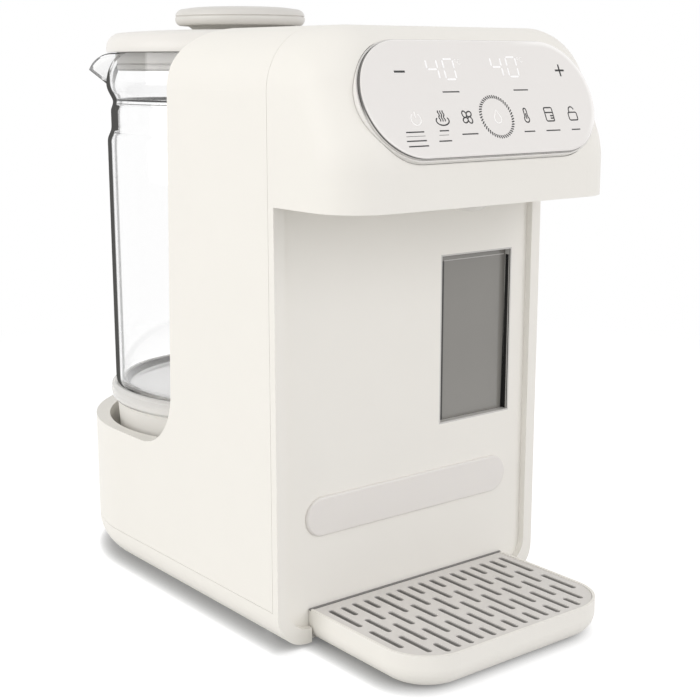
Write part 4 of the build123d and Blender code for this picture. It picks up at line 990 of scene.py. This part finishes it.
def sloped_slab(x0, x1, z0, z1, y_front, y_back, slopes, sink):
    """Slab whose front face slopes back to its border; slopes are left, right, bottom, top."""
    left, right, bottom, top = slopes
    rings = [
        [(x0, y_back, z0), (x1, y_back, z0), (x1, y_back, z1), (x0, y_back, z1)],
        [(x0, y_front + sink, z0), (x1, y_front + sink, z0), (x1, y_front + sink, z1),
         (x0, y_front + sink, z1)],
        [(x0 + left, y_front, z0 + bottom), (x1 - right, y_front, z0 + bottom),
         (x1 - right, y_front, z1 - top), (x0 + left, y_front, z1 - top)],
    ]
    shape = bmesh.new()
    layers = [[shape.verts.new(p) for p in ring] for ring in rings]
    for low, high in zip(layers, layers[1:]):
        for k in range(4):
            shape.faces.new((low[k], low[(k + 1) % 4], high[(k + 1) % 4], high[k]))
    shape.faces.new(layers[0])
    shape.faces.new(layers[-1])
    bmesh.ops.recalc_face_normals(shape, faces=shape.faces)
    return meshed(shape)


pane_mesh = sloped_slab(pane_low.x, pane_high.x, pane_low.z, pane_high.z, pane_low.y,
                        pane_high.y, (open_x0 - pane_low.x + 3.0 * MM, 1.0 * MM, 2.0 * MM,
                                      pane_high.z - open_z1 + 3.2 * MM), 0.8 * MM)
pane = new_object("smoked_pane", pane_mesh, pane_finish, "root")
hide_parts("level_window")
frame_finish = finish("window_frame_grey", (0.60, 0.59, 0.57), 0.4)
dress(frame_finish, "window_frame")

# painted shade: black films for the shadow in the gap at the pane's right edge
shade_film_finish = finish("painted_shade_black", (0.008, 0.008, 0.008), 0.6, clouds=0.2, grain=0.0)
dark_line_finish = finish("dark_edge_line", (0.045, 0.044, 0.042), 0.5, clouds=0.2, grain=0.0)
glint_finish = finish("pane_glint", (0.52, 0.51, 0.49), 0.2, clouds=0.05, grain=0.0)


def film(name, corners, lift, material):
    """Thin film between four corners, raised a little from the face that it lies on."""
    shape = bmesh.new()
    base = shape.faces.new([shape.verts.new(c) for c in corners])
    raised = bmesh.ops.extrude_face_region(shape, geom=[base])
    tops = [e for e in raised["geom"] if isinstance(e, bmesh.types.BMVert)]
    bmesh.ops.translate(shape, verts=tops, vec=lift)
    bmesh.ops.recalc_face_normals(shape, faces=shape.faces)
    return new_object(name, meshed(shape), material, "root")


FILM = 0.06 * MM
seat, face = pane_low.y, frame_low.y
top, low = open_z1 - 3.2 * MM, open_z0
film("pane_edge_painted_shade", [(open_x1, seat - 0.4 * MM, top), (open_x1, seat - 2.6 * MM, top),
                        (open_x1, seat - 2.5 * MM, low), (open_x1, seat - 0.05 * MM, low)],
     (-FILM, 0, 0), shade_film_finish)
film("painted_shade_foot", [(open_x1, seat, top - 20 * MM), (open_x1 - 1.2 * MM, seat, low),
                   (open_x1, seat, low)], (0, -FILM, 0), shade_film_finish)
# thin dark lines along the opening's right wall and beside the pane's left edge
film("right_dark_line", [(open_x1, face + 0.55 * MM, open_z1), (open_x1, face + 0.1 * MM, open_z1),
                         (open_x1, face + 0.1 * MM, low), (open_x1, face + 0.55 * MM, low)],
     (-FILM, 0, 0), dark_line_finish)
left = open_x0 + 3.6 * MM
film("left_dark_line", [(left, seat, top), (left + 1.1 * MM, seat, top),
                        (left + 1.1 * MM, seat, low), (left, seat, low)],
     (0, -FILM, 0), dark_line_finish)
# painted highlight: a pale film along the top of the pane
film("top_glint", [(left + 1.1 * MM, seat, top), (open_x1 - 1.0 * MM, seat, top),
                   (open_x1 - 1.0 * MM, seat, top + 0.4 * MM),
                   (left + 1.1 * MM, seat, top + 0.4 * MM)], (0, -FILM, 0), glint_finish)

# %% [markdown]
# ## The spring in the valve
#
# A spring is the one metal part that changes length: its foot rises with the plunger while
# its head stays against the retainer. A rigid copy would cut through the plunger's shoulder,
# and the coils here are such a copy, laid over the CAD spring, which is hidden. Vertices
# that the CAD mesh repeats are merged first, or the wire would come apart.

# %% Coils laid over the CAD spring
coil_mesh = nodes["valve_spring"].data.copy()
coils = bmesh.new()
coils.from_mesh(coil_mesh)
bmesh.ops.remove_doubles(coils, verts=coils.verts, dist=0.001 * MM)
bmesh.ops.recalc_face_normals(coils, faces=coils.faces)
coils.to_mesh(coil_mesh)
coils.free()
spring = placed("spring_coils", coil_mesh, steel_finish)
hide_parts("valve_spring")
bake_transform(spring)

# %% [markdown]
# ## Solder under the boards
#
# A circuit board without solder looks like a green tile. A grid of small domes, each a
# little different in size, is stamped on the back of the mains board by Geometry Nodes,
# with a fixed seed so that it comes out the same every time.

# %% Solder domes
def solder_tree(finish_material):
    """Geometry tree: a thinned grid of low domes."""
    tree = bpy.data.node_groups.new("solder_on_a_grid", "GeometryNodeTree")
    tree.interface.new_socket("Geometry", in_out="OUTPUT", socket_type="NodeSocketGeometry")
    add_inputs(tree, Length=60.0, Height=70.0, Columns=14, Rows=16, Dome=0.8)
    given = node(tree, "NodeGroupInput").outputs
    grid = node(tree, "GeometryNodeMeshGrid")
    keep = node(tree, "FunctionNodeRandomValue", data_type="BOOLEAN")
    keep.inputs["Probability"].default_value = 0.55
    keep.inputs["Seed"].default_value = 7
    wide = node(tree, "FunctionNodeRandomValue", data_type="FLOAT")
    for socket in wide.inputs:
        if socket.type == "VALUE" and socket.name == "Min":
            socket.default_value = 0.7
        if socket.type == "VALUE" and socket.name == "Max":
            socket.default_value = 1.2
    wide.inputs["Seed"].default_value = 11
    dome = node(tree, "GeometryNodeMeshUVSphere")
    dome.inputs["Segments"].default_value = 8
    dome.inputs["Rings"].default_value = 5
    stamp = node(tree, "GeometryNodeInstanceOnPoints")
    flat = node(tree, "ShaderNodeCombineXYZ", Z=0.5)
    real = node(tree, "GeometryNodeRealizeInstances")
    paint = node(tree, "GeometryNodeSetMaterial")
    paint.inputs["Material"].default_value = finish_material
    out = node(tree, "NodeGroupOutput")
    link = tree.links.new
    link(given["Length"], grid.inputs["Size X"])
    link(given["Height"], grid.inputs["Size Y"])
    link(given["Columns"], grid.inputs["Vertices X"])
    link(given["Rows"], grid.inputs["Vertices Y"])
    link(given["Dome"], dome.inputs["Radius"])
    link(grid.outputs["Mesh"], stamp.inputs["Points"])
    link([s for s in keep.outputs if s.enabled][0], stamp.inputs["Selection"])
    link(dome.outputs["Mesh"], stamp.inputs["Instance"])
    random_size = [s for s in wide.outputs if s.enabled][0]
    link(random_size, flat.inputs["X"])
    link(random_size, flat.inputs["Y"])
    link(flat.outputs[0], stamp.inputs["Scale"])
    link(stamp.outputs[0], real.inputs[0])
    link(real.outputs[0], paint.inputs["Geometry"])
    link(paint.outputs[0], out.inputs["Geometry"])
    return tree


solder_finish = finish("solder", (0.62, 0.62, 0.64), 0.25, clouds=0.1, grain=0.0, Metallic=1.0)
board_low, board_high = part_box("power_board")
solder_mesh = grown(solder_tree(solder_finish), {
    "Length": (board_high.x - board_low.x) / MM - 6, "Columns": 18,
    "Height": (board_high.z - board_low.z) / MM - 6, "Rows": 20, "Dome": 0.7})
solder_mesh.transform(Matrix.Scale(MM, 4))
solder_mesh.transform(Matrix.Rotation(radians(90), 4, "X"))
solder_mesh.transform(Matrix.Translation(((board_low.x + board_high.x) / 2, board_low.y,
                                          (board_low.z + board_high.z) / 2)))
new_object("board_solder", solder_mesh, solder_finish, "root")

# %% [markdown]
# ## Render look
#
# The view transform stays plain, so a colour renders about as it is written.

# %% Finish
scene.view_settings.view_transform = "Standard"
